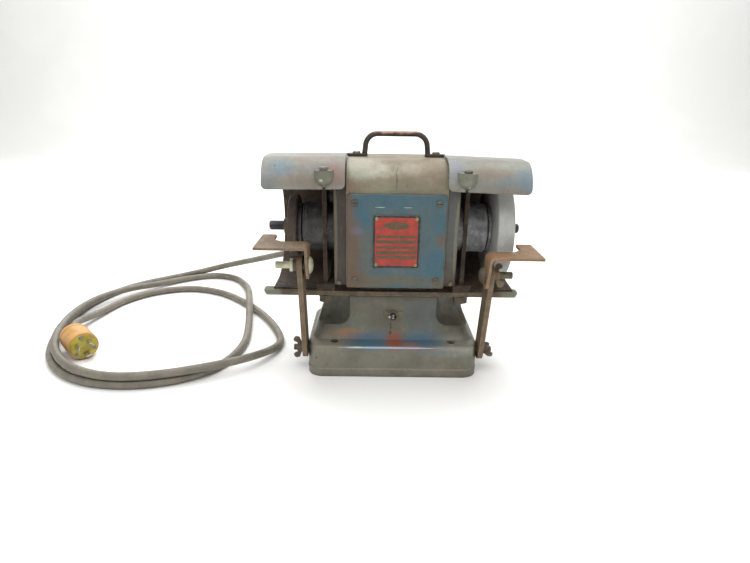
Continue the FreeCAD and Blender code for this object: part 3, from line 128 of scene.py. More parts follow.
class Look:
    """One procedural material. Sizes are metres, places are in the row frame."""

    def __init__(self, name):
        self.mat = bpy.data.materials.new(name)
        self.mat.use_nodes = True
        self.nodes = self.mat.node_tree.nodes
        self.links = self.mat.node_tree.links
        self.shader = self.nodes["Principled BSDF"]
        self.place = self.nodes.new("ShaderNodeTexCoord").outputs["Object"]
        self.cache = {}

    def put(self, socket, value):
        if isinstance(value, bpy.types.NodeSocket):
            self.links.new(value, socket)
        else:
            socket.default_value = value

    def math(self, op, a, b=0.0):
        n = self.nodes.new("ShaderNodeMath")
        n.operation = op
        self.put(n.inputs[0], a)
        self.put(n.inputs[1], b)
        return n.outputs[0]

    def times(self, product, *factors):
        for factor in factors:
            product = self.math("MULTIPLY", product, factor)
        return product

    def stray(self, value, noise, width):
        """Value moved to and fro by a noise, over a width in all."""
        return self.math("ADD", value, self.times(self.math("SUBTRACT", noise, 0.5), width))

    def vector(self, op, a, b=None):
        n = self.nodes.new("ShaderNodeVectorMath")
        n.operation = op
        self.put(n.inputs[0], a)
        if b is not None:
            self.put(n.inputs[1], b)
        return n.outputs

    def axis(self, i):
        if "xyz" not in self.cache:
            n = self.nodes.new("ShaderNodeSeparateXYZ")
            self.put(n.inputs[0], self.place)
            self.cache["xyz"] = n.outputs
        return self.cache["xyz"][i]

    def noise(self, size, detail=3.0, rough=0.55, stretch=(1.0, 1.0, 1.0), shift=0.0):
        """0 to 1 in lumps of a size, with finer ones inside; shift gives another pattern."""
        key = (size, detail, rough, stretch, shift)
        if key not in self.cache:
            m = self.nodes.new("ShaderNodeMapping")
            m.inputs["Location"].default_value = (shift, shift * 1.7, shift * 0.6)
            m.inputs["Scale"].default_value = stretch
            self.put(m.inputs["Vector"], self.place)
            n = self.nodes.new("ShaderNodeTexNoise")
            n.inputs["Scale"].default_value = 1.0 / size
            n.inputs["Detail"].default_value = detail
            n.inputs["Roughness"].default_value = rough
            self.put(n.inputs["Vector"], m.outputs[0])
            self.cache[key] = n.outputs[0]
        return self.cache[key]

    def cells(self, size, shift=0.0):
        """Distance to the nearest of scattered points, as a share of their spacing."""
        m = self.nodes.new("ShaderNodeMapping")
        m.inputs["Location"].default_value = (shift, shift, shift)
        self.put(m.inputs["Vector"], self.place)
        n = self.nodes.new("ShaderNodeTexVoronoi")
        n.inputs["Scale"].default_value = 1.0 / size
        self.put(n.inputs["Vector"], m.outputs[0])
        return n.outputs["Distance"]

    def step(self, value, low, high):
        """0 below low and 1 above high, or the other way round if low is above high."""
        n = self.nodes.new("ShaderNodeMapRange")
        n.interpolation_type = "SMOOTHSTEP"
        self.put(n.inputs["Value"], value)
        n.inputs["From Min"].default_value = low
        n.inputs["From Max"].default_value = high
        return n.outputs[0]

    def mix(self, fac, a, b):
        """Colour between a and b."""
        n = self.nodes.new("ShaderNodeMix")
        n.data_type = "RGBA"
        self.put(n.inputs[0], fac)
        self.put(n.inputs[6], a)
        self.put(n.inputs[7], b)
        return n.outputs[2]

    def blend(self, fac, a, b):
        """Number between a and b."""
        n = self.nodes.new("ShaderNodeMix")
        self.put(n.inputs[0], fac)
        self.put(n.inputs[2], a)
        self.put(n.inputs[3], b)
        return n.outputs[0]

    def mottle(self, colour, tone, noise, low, high):
        """Colour that turns to tone where the noise rises from low to high."""
        return self.mix(self.step(noise, low, high), colour, tone)

    def lay(self, colour, tone, mask, share):
        """Colour with a share of tone laid over it where the mask is 1."""
        return self.mix(self.times(mask, share), colour, tone)

    def shade(self, colour, value, low, high):
        """Colour times a factor that runs from low to high as value goes from 1/4 to 3/4."""
        n = self.nodes.new("ShaderNodeMapRange")
        self.put(n.inputs["Value"], value)
        n.inputs["From Min"].default_value = 0.25
        n.inputs["From Max"].default_value = 0.75
        n.inputs["To Min"].default_value = low
        n.inputs["To Max"].default_value = high
        v = self.nodes.new("ShaderNodeVectorMath")
        v.operation = "SCALE"
        self.put(v.inputs[0], colour)
        self.put(v.inputs["Scale"], n.outputs[0])
        return v.outputs[0]

    def crack(self, centre, width, low, high):
        """1 on a thin wandering upright line at x = centre, between two heights."""
        drift = self.times(self.math("SUBTRACT", self.noise(0.012, 3.0, 0.6, shift=5.0), 0.5),
                           CRACK_DRIFT)
        away = self.math("SUBTRACT", self.math("SUBTRACT", self.axis(0), centre), drift)
        away = self.math("ABSOLUTE", away)
        ends = self.times(self.step(self.axis(2), low, low + CRACK_FADE),
                          self.step(self.axis(2), high, high - CRACK_FADE))
        body = self.times(self.step(away, width, width * 0.3), ends)
        return self.times(body, self.step(self.noise(0.005, 3.0, 0.6, shift=2.5), 0.34, 0.5))

    def blob(self, centre, radii, ragged, soft):
        """1 inside a ragged ellipsoid about centre, 0 outside."""
        out = self.vector("SUBTRACT", self.place, centre)[0]
        out = self.vector("DIVIDE", out, radii)[0]
        out = self.vector("LENGTH", out)["Value"]
        out = self.stray(out, self.noise(PATCH_GRAIN, 5.0, 0.62), ragged * 4.0)
        return self.step(out, 1.0 + soft, 1.0 - soft)

    def rounded(self, radius):
        """Normal of the surface with its edges rounded; the bump map starts from the last one."""
        n = self.nodes.new("ShaderNodeBevel")
        n.samples = RAY_SAMPLES
        n.inputs["Radius"].default_value = radius
        self.cache["round"] = n.outputs[0]
        return n.outputs[0]

    def edges(self, radius):
        """1 along outer edges, from the difference between the normal and a rounded one."""
        g = self.nodes.new("ShaderNodeNewGeometry")
        d = self.vector("DOT_PRODUCT", self.rounded(radius), g.outputs["Normal"])
        return self.step(d["Value"], 0.995, 0.90)

    def corner_shade_mask(self, reach):
        """1 in corners and under overhangs, from ambient occlusion; it masks painted shade."""
        n = self.nodes.new("ShaderNodeAmbientOcclusion")
        n.samples = RAY_SAMPLES
        n.inputs["Distance"].default_value = reach
        return self.step(n.outputs["AO"], 0.80, 0.25)

    def done(self, colour, rough, metal, height, depth, strength):
        s = self.shader.inputs
        self.put(s["Base Color"], colour)
        self.put(s["Roughness"], rough)
        self.put(s["Metallic"], metal)
        n = self.nodes.new("ShaderNodeBump")
        n.inputs["Strength"].default_value = strength
        n.inputs["Distance"].default_value = depth
        self.put(n.inputs["Height"], height)
        if "round" in self.cache:
            self.put(n.inputs["Normal"], self.cache["round"])
        self.put(s["Normal"], n.outputs[0])
        return self.mat


RUST = rgb(118, 84, 60)
RUST_DARK = rgb(74, 58, 46)
GRIME_AND_SHADE = rgb(52, 46, 38)
# dark grime tone; also the colour of painted shade in corners and under the motor
DUST = rgb(168, 160, 142)


def old_paint(name, coat, coat_two, patches=(), chips=0.35, wear=0.8, bare=RUST, rough=0.56,
              streaks=0.25, specks=0.0, cracks=(), soft=0.0):
    """Old enamel: two mottled tones, ragged patches, chips to rust, worn edges, painted shade in the
    corners.
    """
    k = Look(name)
    colour = k.mottle(coat, coat_two, k.noise(0.045, 4.0, 0.6), 0.38, 0.62)
    for centre, radii, tone, share in patches:
        ragged, fade = (0.1, 0.12) if min(radii) < CRISP else (0.24, 0.55)
        colour = k.lay(colour, tone, k.blob(centre, radii, ragged, fade), share)
    for crack in cracks:
        colour = k.lay(colour, GRIME_AND_SHADE, k.crack(*crack), 0.7)
    colour = k.shade(colour, k.noise(0.007, 5.0, 0.65, shift=3.1), 0.90, 1.10)
    runs = k.step(k.noise(0.016, 4.0, 0.7, (1.0, 1.0, 0.12), 1.3), 0.52, 0.68)
    colour = k.lay(colour, bare, runs, streaks)
    if specks:
        dots = k.step(k.cells(0.0042, 2.2), 0.16, 0.10)
        some = k.step(k.noise(0.02, 3.0, 0.6, shift=7.0), 0.50, 0.60)
        colour = k.lay(colour, DUST, k.times(dots, some), specks)
    chipped = 0.06 * chips
    spots = k.step(k.noise(0.010, 6.0, 0.72, shift=5.5), 0.665 - chipped, 0.70 - chipped)
    rub = k.step(k.noise(0.012, 5.0, 0.7, shift=9.0), 0.36, 0.60)
    bared = k.math("MAXIMUM", spots, k.times(k.edges(0.0016), rub, wear))
    rust = k.mottle(bare, RUST_DARK, k.noise(0.006, 4.0, 0.6, shift=2.0), 0.40, 0.62)
    colour = k.mix(bared, colour, rust)
    # painted shade: grime-coloured darkening where ambient occlusion finds corners and overhangs,
    # broken up by noise
    corner_shade = k.times(k.corner_shade_mask(0.018), k.step(k.noise(0.02, 4.0, 0.6, shift=4.0), 0.25, 0.55))
    colour = k.lay(colour, GRIME_AND_SHADE, corner_shade, 0.7)
    if soft:
        k.rounded(soft)
    shine = k.stray(k.blend(bared, rough, 0.82), k.noise(0.02, 5.0, 0.7), 0.45)
    relief = k.math("SUBTRACT", k.times(k.noise(0.0022, 4.0, 0.6), 0.35), k.times(bared, 0.5))
    return k.done(colour, shine, 0.0, relief, 0.00035, 0.55)


def rusted(name, tone, tone_two, tone_three, metal=0.25, rough=0.72, bright_edges=0.5,
           edge_tone=rgb(176, 158, 138), patches=()):
    """Steel under brown rust and old oil, rubbed brighter on its edges."""
    k = Look(name)
    colour = k.mottle(tone, tone_two, k.noise(0.022, 5.0, 0.66), 0.38, 0.60)
    colour = k.mottle(colour, tone_three, k.noise(0.009, 5.0, 0.7, shift=6.0), 0.52, 0.66)
    for centre, radii, patch, share in patches:
        colour = k.lay(colour, patch, k.blob(centre, radii, 0.4, 0.25), share)
    colour = k.shade(colour, k.noise(0.0028, 5.0, 0.7, shift=1.0), 0.82, 1.16)
    rub = k.step(k.noise(0.012, 4.0, 0.6, shift=8.0), 0.38, 0.62)
    rub = k.times(k.edges(0.0012), rub, bright_edges)
    colour = k.mix(rub, colour, edge_tone)
    # painted shade in corners and hollows, from ambient occlusion
    colour = k.lay(colour, GRIME_AND_SHADE, k.corner_shade_mask(0.012), 0.55)
    shine = k.stray(k.blend(rub, rough, 0.45), k.noise(0.01, 5.0, 0.7), 0.5)
    relief = k.math("ADD", k.noise(0.0016, 5.0, 0.7), k.times(k.noise(0.007, 4.0, 0.6), 0.8))
    return k.done(colour, shine, metal, relief, 0.00028, 0.6)


def metal(name, tone, tone_two, rough=0.42, metallic=0.9, ring=0.0, speck=0.0, speck_tone=DUST):
    """Machined steel gone dull; ring adds turning marks round the shaft."""
    k = Look(name)
    colour = k.mottle(tone, tone_two, k.noise(0.014, 5.0, 0.66), 0.36, 0.64)
    colour = k.shade(colour, k.noise(0.003, 4.0, 0.7, shift=3.0), 0.86, 1.12)
    if speck:
        flecks = k.step(k.noise(0.0045, 6.0, 0.75, (1.0, 0.5, 0.5), 4.0), 0.60, 0.66)
        some = k.step(k.noise(0.022, 3.0, 0.6, shift=11.0), 0.46, 0.60)
        colour = k.lay(colour, speck_tone, k.times(flecks, some), speck)
    rub = k.times(k.edges(0.0012), k.step(k.noise(0.01, 4.0, 0.6, shift=8.0), 0.34, 0.56))
    colour = k.lay(colour, rgb(186, 182, 172), rub, 0.6)
    shine = k.stray(rough, k.noise(0.006, 5.0, 0.7), 0.55)
    relief = k.noise(0.002, 4.0, 0.65)
    if ring:
        turned = k.noise(0.0012, 2.0, 0.5, (1.0, 0.02, 0.02))
        relief = k.math("ADD", relief, k.times(turned, ring))
    return k.done(colour, shine, metallic, relief, 0.00018, 0.5)


def abrasive(name, tone, tone_two, grit, glaze):
    """Bonded grit: coarse sparkle of grains, a glazed working rim, oily grime towards the hub."""
    k = Look(name)
    colour = k.mottle(tone, tone_two, k.noise(0.03, 4.0, 0.6), 0.36, 0.64)
    colour = k.mottle(colour, grit, k.cells(0.0011, 1.0), 0.35, 0.15)
    colour = k.shade(colour, k.noise(0.0016, 3.0, 0.7, shift=2.0), 0.86, 1.12)
    marks = k.step(k.noise(0.012, 4.0, 0.7, (2.6, 0.35, 0.35), 3.0), 0.55, 0.66)
    colour = k.lay(colour, glaze, marks, 0.5)
    y, z = k.axis(1), k.math("SUBTRACT", k.axis(2), SPINDLE_HEIGHT)
    out = k.math("SQRT", k.math("ADD", k.times(y, y), k.times(z, z)))
    out = k.math("ADD", out, k.times(k.noise(0.015, 4.0, 0.6), 0.02))
    oil = k.step(out, 0.058, 0.034)
    colour = k.lay(colour, GRIME_AND_SHADE, oil, 0.7)
    shine = k.stray(0.78, k.noise(0.004, 4.0, 0.6), 0.4)
    relief = k.math("ADD", k.noise(0.0011, 3.0, 0.8), k.times(k.cells(0.0013), 0.6))
    return k.done(colour, shine, 0.0, relief, 0.0005, 0.8)


def moulded(name, tone, tone_two, rough=0.5, scuff=0.4, scuff_tone=DUST, corner_shade=0.6):
    """Moulded rubber or plastic: faint mottling, scuffs on the edges, painted shade in the hollows."""
    k = Look(name)
    colour = k.mottle(tone, tone_two, k.noise(0.02, 4.0, 0.6), 0.38, 0.62)
    colour = k.shade(colour, k.noise(0.004, 4.0, 0.65, shift=3.0), 0.88, 1.10)
    marks = k.step(k.noise(0.010, 6.0, 0.75, (1.0, 1.0, 0.6), 5.0), 0.60, 0.68)
    rub = k.times(k.edges(0.0010), k.step(k.noise(0.008, 4.0, 0.6), 0.35, 0.6))
    rub = k.math("MAXIMUM", k.times(marks, 0.5), rub)
    colour = k.lay(colour, scuff_tone, rub, scuff)
    # painted shade in the hollows and where the part meets others, from ambient occlusion
    colour = k.lay(colour, GRIME_AND_SHADE, k.corner_shade_mask(0.008), corner_shade)
    shine = k.stray(rough, k.noise(0.008, 5.0, 0.7), 0.5)
    relief = k.math("ADD", k.noise(0.0012, 3.0, 0.6), k.times(marks, 0.4))
    return k.done(colour, shine, 0.0, relief, 0.0002, 0.5)


OLIVE = rgb(126, 118, 97)
OLIVE_TWO = rgb(112, 102, 82)
BLUE = rgb(62, 86, 94)
BLUE_TWO = rgb(74, 90, 92)
SKY = rgb(92, 118, 134)
TEAL = rgb(48, 88, 104)
TAN = rgb(122, 98, 78)
COVER_BROWN = rgb(92, 74, 58)
COVER_OLIVE = rgb(88, 84, 68)
BASE = rgb(114, 112, 98)
BASE_TWO = rgb(101, 99, 87)
PRIMER = rgb(140, 76, 56)
SHIELD = rgb(128, 130, 122)
SHIELD_TWO = rgb(118, 116, 108)
ROSE = rgb(124, 96, 88)
MINT = rgb(112, 124, 104)
WHITISH = rgb(190, 190, 176)

LOOK = {
    "housing": old_paint("paint_housing", OLIVE, OLIVE_TWO, (
        ((0.020, -0.060, 0.342), (0.020, 0.030, 0.008), WHITISH, 0.30),
        ((-0.022, -0.066, 0.338), (0.018, 0.030, 0.006), WHITISH, 0.22),
        ((-0.060, -0.070, 0.334), (0.022, 0.030, 0.012), MINT, 0.35),
        ((-0.054, -0.060, 0.345), (0.034, 0.050, 0.016), WHITISH, 0.35),
        ((0.045, -0.050, 0.345), (0.040, 0.05, 0.016), TAN, 0.20),
        ((-0.070, -0.080, 0.318), (0.016, 0.05, 0.010), ROSE, 0.30),
        ((0.010, -0.080, 0.318), (0.050, 0.05, 0.006), MINT, 0.30),
        # painted shade along the housing's bottom, over the foot
        ((0.0, 0.0, 0.155), (0.2, 0.2, 0.014), GRIME_AND_SHADE, 0.5)),
        chips=0.15, wear=0.55, specks=0.35, cracks=((-0.001, 0.0011, 0.312, 0.349),)),
    "cover": old_paint("paint_cover", BLUE, BLUE_TWO, (
        ((0.0, -0.087, 0.298), (0.075, 0.02, 0.012), TEAL, 0.55),
        ((-0.052, -0.087, 0.272), (0.016, 0.02, 0.014), TEAL, 0.75),
        ((0.062, -0.087, 0.196), (0.018, 0.02, 0.026), TEAL, 0.80),
        ((0.066, -0.087, 0.268), (0.012, 0.02, 0.018), TEAL, 0.55),
        ((-0.010, -0.087, 0.170), (0.072, 0.02, 0.010), COVER_OLIVE, 0.85),
        ((-0.044, -0.087, 0.210), (0.010, 0.02, 0.040), COVER_OLIVE, 0.45),
        ((-0.070, -0.087, 0.218), (0.016, 0.02, 0.056), COVER_BROWN, 0.95),
        ((-0.074, -0.087, 0.290), (0.008, 0.02, 0.030), COVER_BROWN, 0.75),
        ((-0.062, -0.087, 0.170), (0.020, 0.02, 0.018), COVER_BROWN, 0.80),
        ((0.069, -0.087, 0.238), (0.007, 0.02, 0.010), COVER_BROWN, 0.70),
        ((0.070, -0.087, 0.166), (0.012, 0.02, 0.010), COVER_OLIVE, 0.80),
        ((0.005, -0.087, 0.162), (0.022, 0.02, 0.005), TEAL, 0.50),
        ((-0.060, -0.087, 0.252), (0.010, 0.02, 0.006), rgb(104, 98, 128), 0.40),
        ((-0.0255, -0.087, 0.2885), (0.0075, 0.02, 0.0006), WHITISH, 0.6),
        ((0.0165, -0.087, 0.2885), (0.0070, 0.02, 0.0006), WHITISH, 0.5)),
        chips=0.3, wear=0.7, bare=TAN, streaks=0.10),
    "bell_left": old_paint("paint_bell_left", rgb(60, 53, 44), rgb(49, 43, 37), (
        # painted shade along the bell's bottom
        ((0.0, -0.081, 0.16), (0.2, 0.03, 0.015), GRIME_AND_SHADE, 0.5),
        # painted highlight: a thin upright strip of light on the bell
        ((-0.094, -0.081, 0.24), (0.0035, 0.02, 0.08), OLIVE, 0.35)), chips=0.3, wear=0.6),
    "bell_right": old_paint("paint_bell_right", rgb(74, 65, 54), rgb(62, 54, 46), (
        # painted shade along the bell's bottom
        ((0.0, -0.081, 0.16), (0.2, 0.03, 0.015), GRIME_AND_SHADE, 0.5),
        ((0.086, -0.081, 0.27), (0.012, 0.02, 0.07), rgb(84, 92, 92), 0.6),
        # painted highlight: a thin upright strip of light on the bell
        ((0.093, -0.081, 0.24), (0.0035, 0.02, 0.06), OLIVE, 0.5)), chips=0.3, wear=0.7),
    "base": old_paint("paint_base", BASE, BASE_TWO, (
        ((0.050, -0.050, 0.100), (0.034, 0.03, 0.026), rgb(74, 92, 98), 0.75),
        ((-0.090, -0.060, 0.085), (0.034, 0.05, 0.014), rgb(84, 98, 94), 0.5),
        # painted shade in the scoops at either side of the neck
        ((0.110, -0.060, 0.105), (0.034, 0.04, 0.034), rgb(60, 54, 46), 0.8),
        ((-0.110, -0.060, 0.105), (0.034, 0.04, 0.034), rgb(60, 54, 46), 0.85),
        # painted shade on the neck, cast by the guard bar above
        ((0.0, -0.056, 0.100), (0.090, 0.02, 0.030), rgb(84, 82, 70), 0.5),
        ((0.165, -0.030, 0.052), (0.050, 0.09, 0.010), rgb(146, 144, 128), 0.5),
        ((-0.160, -0.030, 0.052), (0.050, 0.09, 0.010), rgb(128, 126, 112), 0.4),
        ((-0.070, -0.062, 0.066), (0.030, 0.02, 0.008), rgb(156, 110, 70), 0.65),
        ((0.105, -0.074, 0.0535), (0.045, 0.022, 0.014), rgb(154, 154, 142), 0.5),
        ((-0.110, -0.074, 0.0535), (0.040, 0.022, 0.014), rgb(132, 126, 110), 0.45),
        ((-0.040, -0.070, 0.060), (0.036, 0.020, 0.014), rgb(58, 100, 124), 0.8),
        ((0.048, -0.070, 0.060), (0.036, 0.020, 0.014), rgb(58, 100, 124), 0.8),
        ((0.003, -0.070, 0.060), (0.014, 0.020, 0.014), PRIMER, 0.9),
        ((0.030, -0.078, 0.055), (0.014, 0.010, 0.006), rgb(150, 96, 80), 0.6),
        ((0.045, -0.084, 0.0525), (0.030, 0.006, 0.003), PRIMER, 0.5),
        # painted highlight along the plinth's front top edge, with a whiter spot on the left
        ((-0.010, -0.0865, 0.0535), (0.080, 0.006, 0.0013), rgb(156, 176, 194), 0.9),
        ((-0.060, -0.0865, 0.0535), (0.012, 0.006, 0.0012), WHITISH, 0.8),
        ((0.075, -0.088, 0.046), (0.034, 0.010, 0.004), rgb(90, 106, 112), 0.5),
        ((0.0, -0.089, 0.0142), (0.2, 0.02, 0.0012), DUST, 0.5)),
        chips=0.2, wear=0.45, rough=0.45, streaks=0.12,
        cracks=((-0.004, 0.0022, 0.060, 0.086),), soft=0.0045),
    "shield_left": old_paint("paint_shield_left", SHIELD, SHIELD_TWO, (
        ((-0.172, -0.085, 0.345), (0.018, 0.03, 0.012), SKY, 0.55),
        ((-0.190, -0.090, 0.325), (0.012, 0.03, 0.012), SKY, 0.35),
        ((-0.150, -0.090, 0.328), (0.040, 0.03, 0.008), TAN, 0.35),
        ((-0.094, -0.085, 0.338), (0.020, 0.03, 0.018), ROSE, 0.75),
        ((-0.130, -0.05, 0.355), (0.030, 0.03, 0.010), TAN, 0.25)),
        chips=0.3, wear=0.9, specks=0.4),
    "shield_right": old_paint("paint_shield_right", SHIELD, SHIELD_TWO, (
        ((0.140, -0.080, 0.342), (0.030, 0.03, 0.010), TAN, 0.45),
        ((0.188, -0.085, 0.328), (0.016, 0.03, 0.020), SKY, 0.60),
        ((0.158, -0.090, 0.328), (0.014, 0.03, 0.010), SKY, 0.35),
        ((0.086, -0.080, 0.345), (0.010, 0.03, 0.018), rgb(112, 114, 140), 0.45),
        ((0.150, -0.070, 0.350), (0.060, 0.02, 0.004), rgb(130, 142, 120), 0.35),
        ((0.172, -0.092, 0.314), (0.030, 0.03, 0.006), TAN, 0.45)),
        chips=0.3, wear=0.9, specks=0.3),
    "lug": old_paint("paint_lugs", rgb(120, 122, 106), rgb(106, 106, 92), (
        # painted highlights: small glints on the rounded bottoms of the lugs
        ((0.104, -0.106, 0.320), (0.0022, 0.01, 0.0030), WHITISH, 0.7),
        ((-0.112, -0.107, 0.330), (0.0030, 0.01, 0.0020), WHITISH, 0.6)),
        chips=0.5, wear=0.7, specks=1.0),
    "plate": rusted("plate_olive", rgb(112, 107, 87), rgb(98, 92, 74), rgb(118, 100, 78),
                    0.1, 0.6, 0.6),
    "guard": rusted("rust_guards", rgb(76, 62, 50), rgb(56, 47, 40), rgb(92, 70, 52),
                    0.1, 0.78, 0.6),
    "bar": rusted("rust_bar", rgb(112, 99, 82), rgb(90, 80, 66), rgb(122, 98, 74),
                  0.1, 0.7, 0.8, patches=(
                      ((-0.21, -0.05, 0.135), (0.022, 0.03, 0.02), rgb(126, 128, 110), 0.8),
                      ((0.205, -0.05, 0.135), (0.022, 0.03, 0.02), rgb(126, 128, 110), 0.8))),
    "arm": rusted("rust_arms", rgb(118, 100, 78), rgb(100, 86, 68), rgb(128, 100, 74),
                  0.1, 0.7, 0.8),
    "rest_left": rusted("rust_rest_left", rgb(126, 105, 82), rgb(108, 91, 72),
                        rgb(136, 108, 78), 0.1, 0.66, 0.8),
    "rest_right": rusted("rust_rest_right", rgb(144, 115, 86), rgb(128, 103, 78),
                         rgb(150, 116, 82), 0.1, 0.66, 0.8, patches=(
                             ((0.150, -0.105, 0.219), (0.022, 0.03, 0.008),
                              rgb(164, 116, 82), 0.3),)),
    "bolt": rusted("rust_bolts", rgb(98, 90, 76), rgb(78, 70, 60), rgb(112, 88, 68),
                   0.2, 0.64, 0.7),
    "foot": rusted("dark_foot", rgb(60, 54, 46), rgb(46, 42, 36), rgb(74, 60, 48),
                   0.1, 0.76, 0.15),
    "dark": metal("dark_steel", rgb(60, 62, 66), rgb(46, 46, 50), 0.46, 0.55, 0.5),
    "hub": metal("hub_steel", rgb(86, 85, 86), rgb(64, 62, 62), 0.5, 0.3, 0.6,
                 0.9, rgb(176, 176, 172)),
    # painted reflections: a bright copy of the hub steel for the right hub and inner flange, standing
    # in for the light they catch
    "hub_reflections": metal("hub_steel_reflections", rgb(156, 158, 160), rgb(112, 112, 114), 0.46, 0.25, 0.6,
                       1.0, rgb(206, 210, 208)),
    "dull_ring": metal("dull_ring", rgb(126, 118, 98), rgb(96, 88, 72), 0.55, 0.5, 0.4),
    "bright": metal("bright_steel", rgb(186, 182, 170), rgb(150, 144, 132), 0.34, 0.9),
    "cream": metal("dome_steel", rgb(198, 200, 172), rgb(168, 166, 138), 0.5, 0.35),
    "steel": metal("dull_steel", rgb(132, 134, 136), rgb(104, 100, 98), 0.42, 0.8),
    "brass": metal("brass_rivets", rgb(158, 150, 104), rgb(126, 116, 78), 0.42, 0.75),
    "blade": metal("plug_metal", rgb(206, 200, 186), rgb(168, 158, 136), 0.34, 0.85),
    "handle": rusted("handle_steel", rgb(70, 61, 56), rgb(57, 50, 47), rgb(90, 71, 60),
                     0.3, 0.5, 0.4, rgb(150, 120, 104), (
                         # painted highlight along the top of the handle
                         ((0.0, 0.0, 0.398), (0.050, 0.02, 0.008), rgb(164, 130, 112), 0.85),)),
    "core": metal("lamination", rgb(96, 96, 100), rgb(74, 74, 78), 0.5, 0.8, 1.4),
    "winding": metal("winding", rgb(170, 96, 52), rgb(120, 66, 38), 0.4, 0.4, 1.4),
    "wheel_right": abrasive("abrasive_grey", rgb(172, 173, 170), rgb(158, 159, 156), rgb(204, 204, 200),
                            rgb(186, 187, 182)),
    "wheel_left": abrasive("abrasive_dark", rgb(80, 68, 58), rgb(62, 54, 47), rgb(112, 98, 84),
                           rgb(104, 90, 76)),
    "cord": moulded("cord_rubber", rgb(120, 114, 101), rgb(107, 101, 90), 0.5,
                    0.5, rgb(150, 146, 132), 0.4),
    "black": moulded("black_moulding", rgb(44, 43, 41), rgb(34, 33, 32), 0.5, 0.3),
    "plug_shell": moulded("plug_rubber", rgb(198, 151, 88), rgb(182, 136, 76), 0.55,
                          0.35, rgb(216, 178, 124), 0.7),
    "plug_face": moulded("plug_yellow", rgb(180, 168, 62), rgb(156, 142, 52), 0.42,
                         0.5, rgb(214, 208, 104), 0.9),
}

WEARS = {
    "base_casting": "base", "base_bottom_cover": "foot", "switch_plate": "plate",
    "switch_body": "black", "switch_nut": "dull_ring", "switch_lever": "bright",
    "guard_bar": "bar", "guard_bolts": "bolt",
    "motor_foot": "foot", "motor_housing": "housing", "front_cover": "cover", "cover_screws": "bolt",
    "nameplate": "dark", "nameplate_rivets": "brass",
    "end_bell_left": "bell_left", "end_bell_right": "bell_right", "bell_screws": "bolt",
    "bearing_housing_left": "hub", "bearing_housing_right": "hub_reflections",
    "ball_bearings": "bright", "stator_core": "core", "stator_windings": "winding", "shaft": "dark",
    "rotor_core": "core", "inner_flange_left": "hub", "inner_flange_right": "hub_reflections",
    "wheel_left": "wheel_left", "wheel_right": "wheel_right", "outer_flange_left": "hub",
    "outer_flange_right": "hub", "arbor_nut_left": "bolt", "arbor_nut_right": "bolt",
    "wheel_guard_left": "guard", "wheel_guard_right": "guard", "eye_shield_left": "shield_left",
    "eye_shield_right": "shield_right", "shield_lug_left": "lug", "shield_lug_right": "lug",
    "shield_screw_left": "steel", "shield_screw_right": "bolt", "handle": "handle",
    "handle_screws": "steel", "arm_studs": "bolt", "rest_arm_left": "arm", "rest_arm_right": "arm",
    "tool_rest_left": "rest_left", "tool_rest_right": "rest_right", "rest_bolt_left": "cream",
    "rest_bolt_right": "bolt", "rest_spacer_left": "bolt", "rest_nut_left": "cream",
    "pivot_wing_nut_left": "bolt", "pivot_wing_nut_right": "bolt", "rest_wing_nut_right": "arm",
    "cord_gland": "black", "power_cord": "cord", "plug_shell": "plug_shell", "plug_face": "plug_face",
    "plug_blades": "blade", "plug_screws": "steel",
}
for node, look in WEARS.items():
    slots = NODES[node].data.materials
    slots.clear()
    slots.append(LOOK[look])


# ------------------------------------------------------------------ pieces
def piece(name, verts, faces, look, body, smooth=True):
    """Mesh on a body; look is a key of LOOK or a material."""
    mesh = bpy.data.meshes.new(name)
    mesh.from_pydata([tuple(v) for v in verts], [], faces)
    bm = bmesh.new()
    bm.from_mesh(mesh)
    bmesh.ops.recalc_face_normals(bm, faces=bm.faces)
    bm.to_mesh(mesh)
    bm.free()
    for p in mesh.polygons:
        p.use_smooth = smooth
    mesh.materials.append(LOOK[look] if isinstance(look, str) else look)
    obj = bpy.data.objects.new(name, mesh)
    bpy.context.scene.collection.objects.link(obj)
    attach(obj, body)
    return obj


SHARP_EDGE = 35.0   # degrees between two faces


def mark_sharp(obj):
    """Marks the sharp edges, so that smooth shading stops there."""
    bm = bmesh.new()
    bm.from_mesh(obj.data)
    for e in bm.edges:
        if len(e.link_faces) == 2 and e.calc_face_angle(0.0) > math.radians(SHARP_EDGE):
            e.smooth = False
    bm.to_mesh(obj.data)
    bm.free()


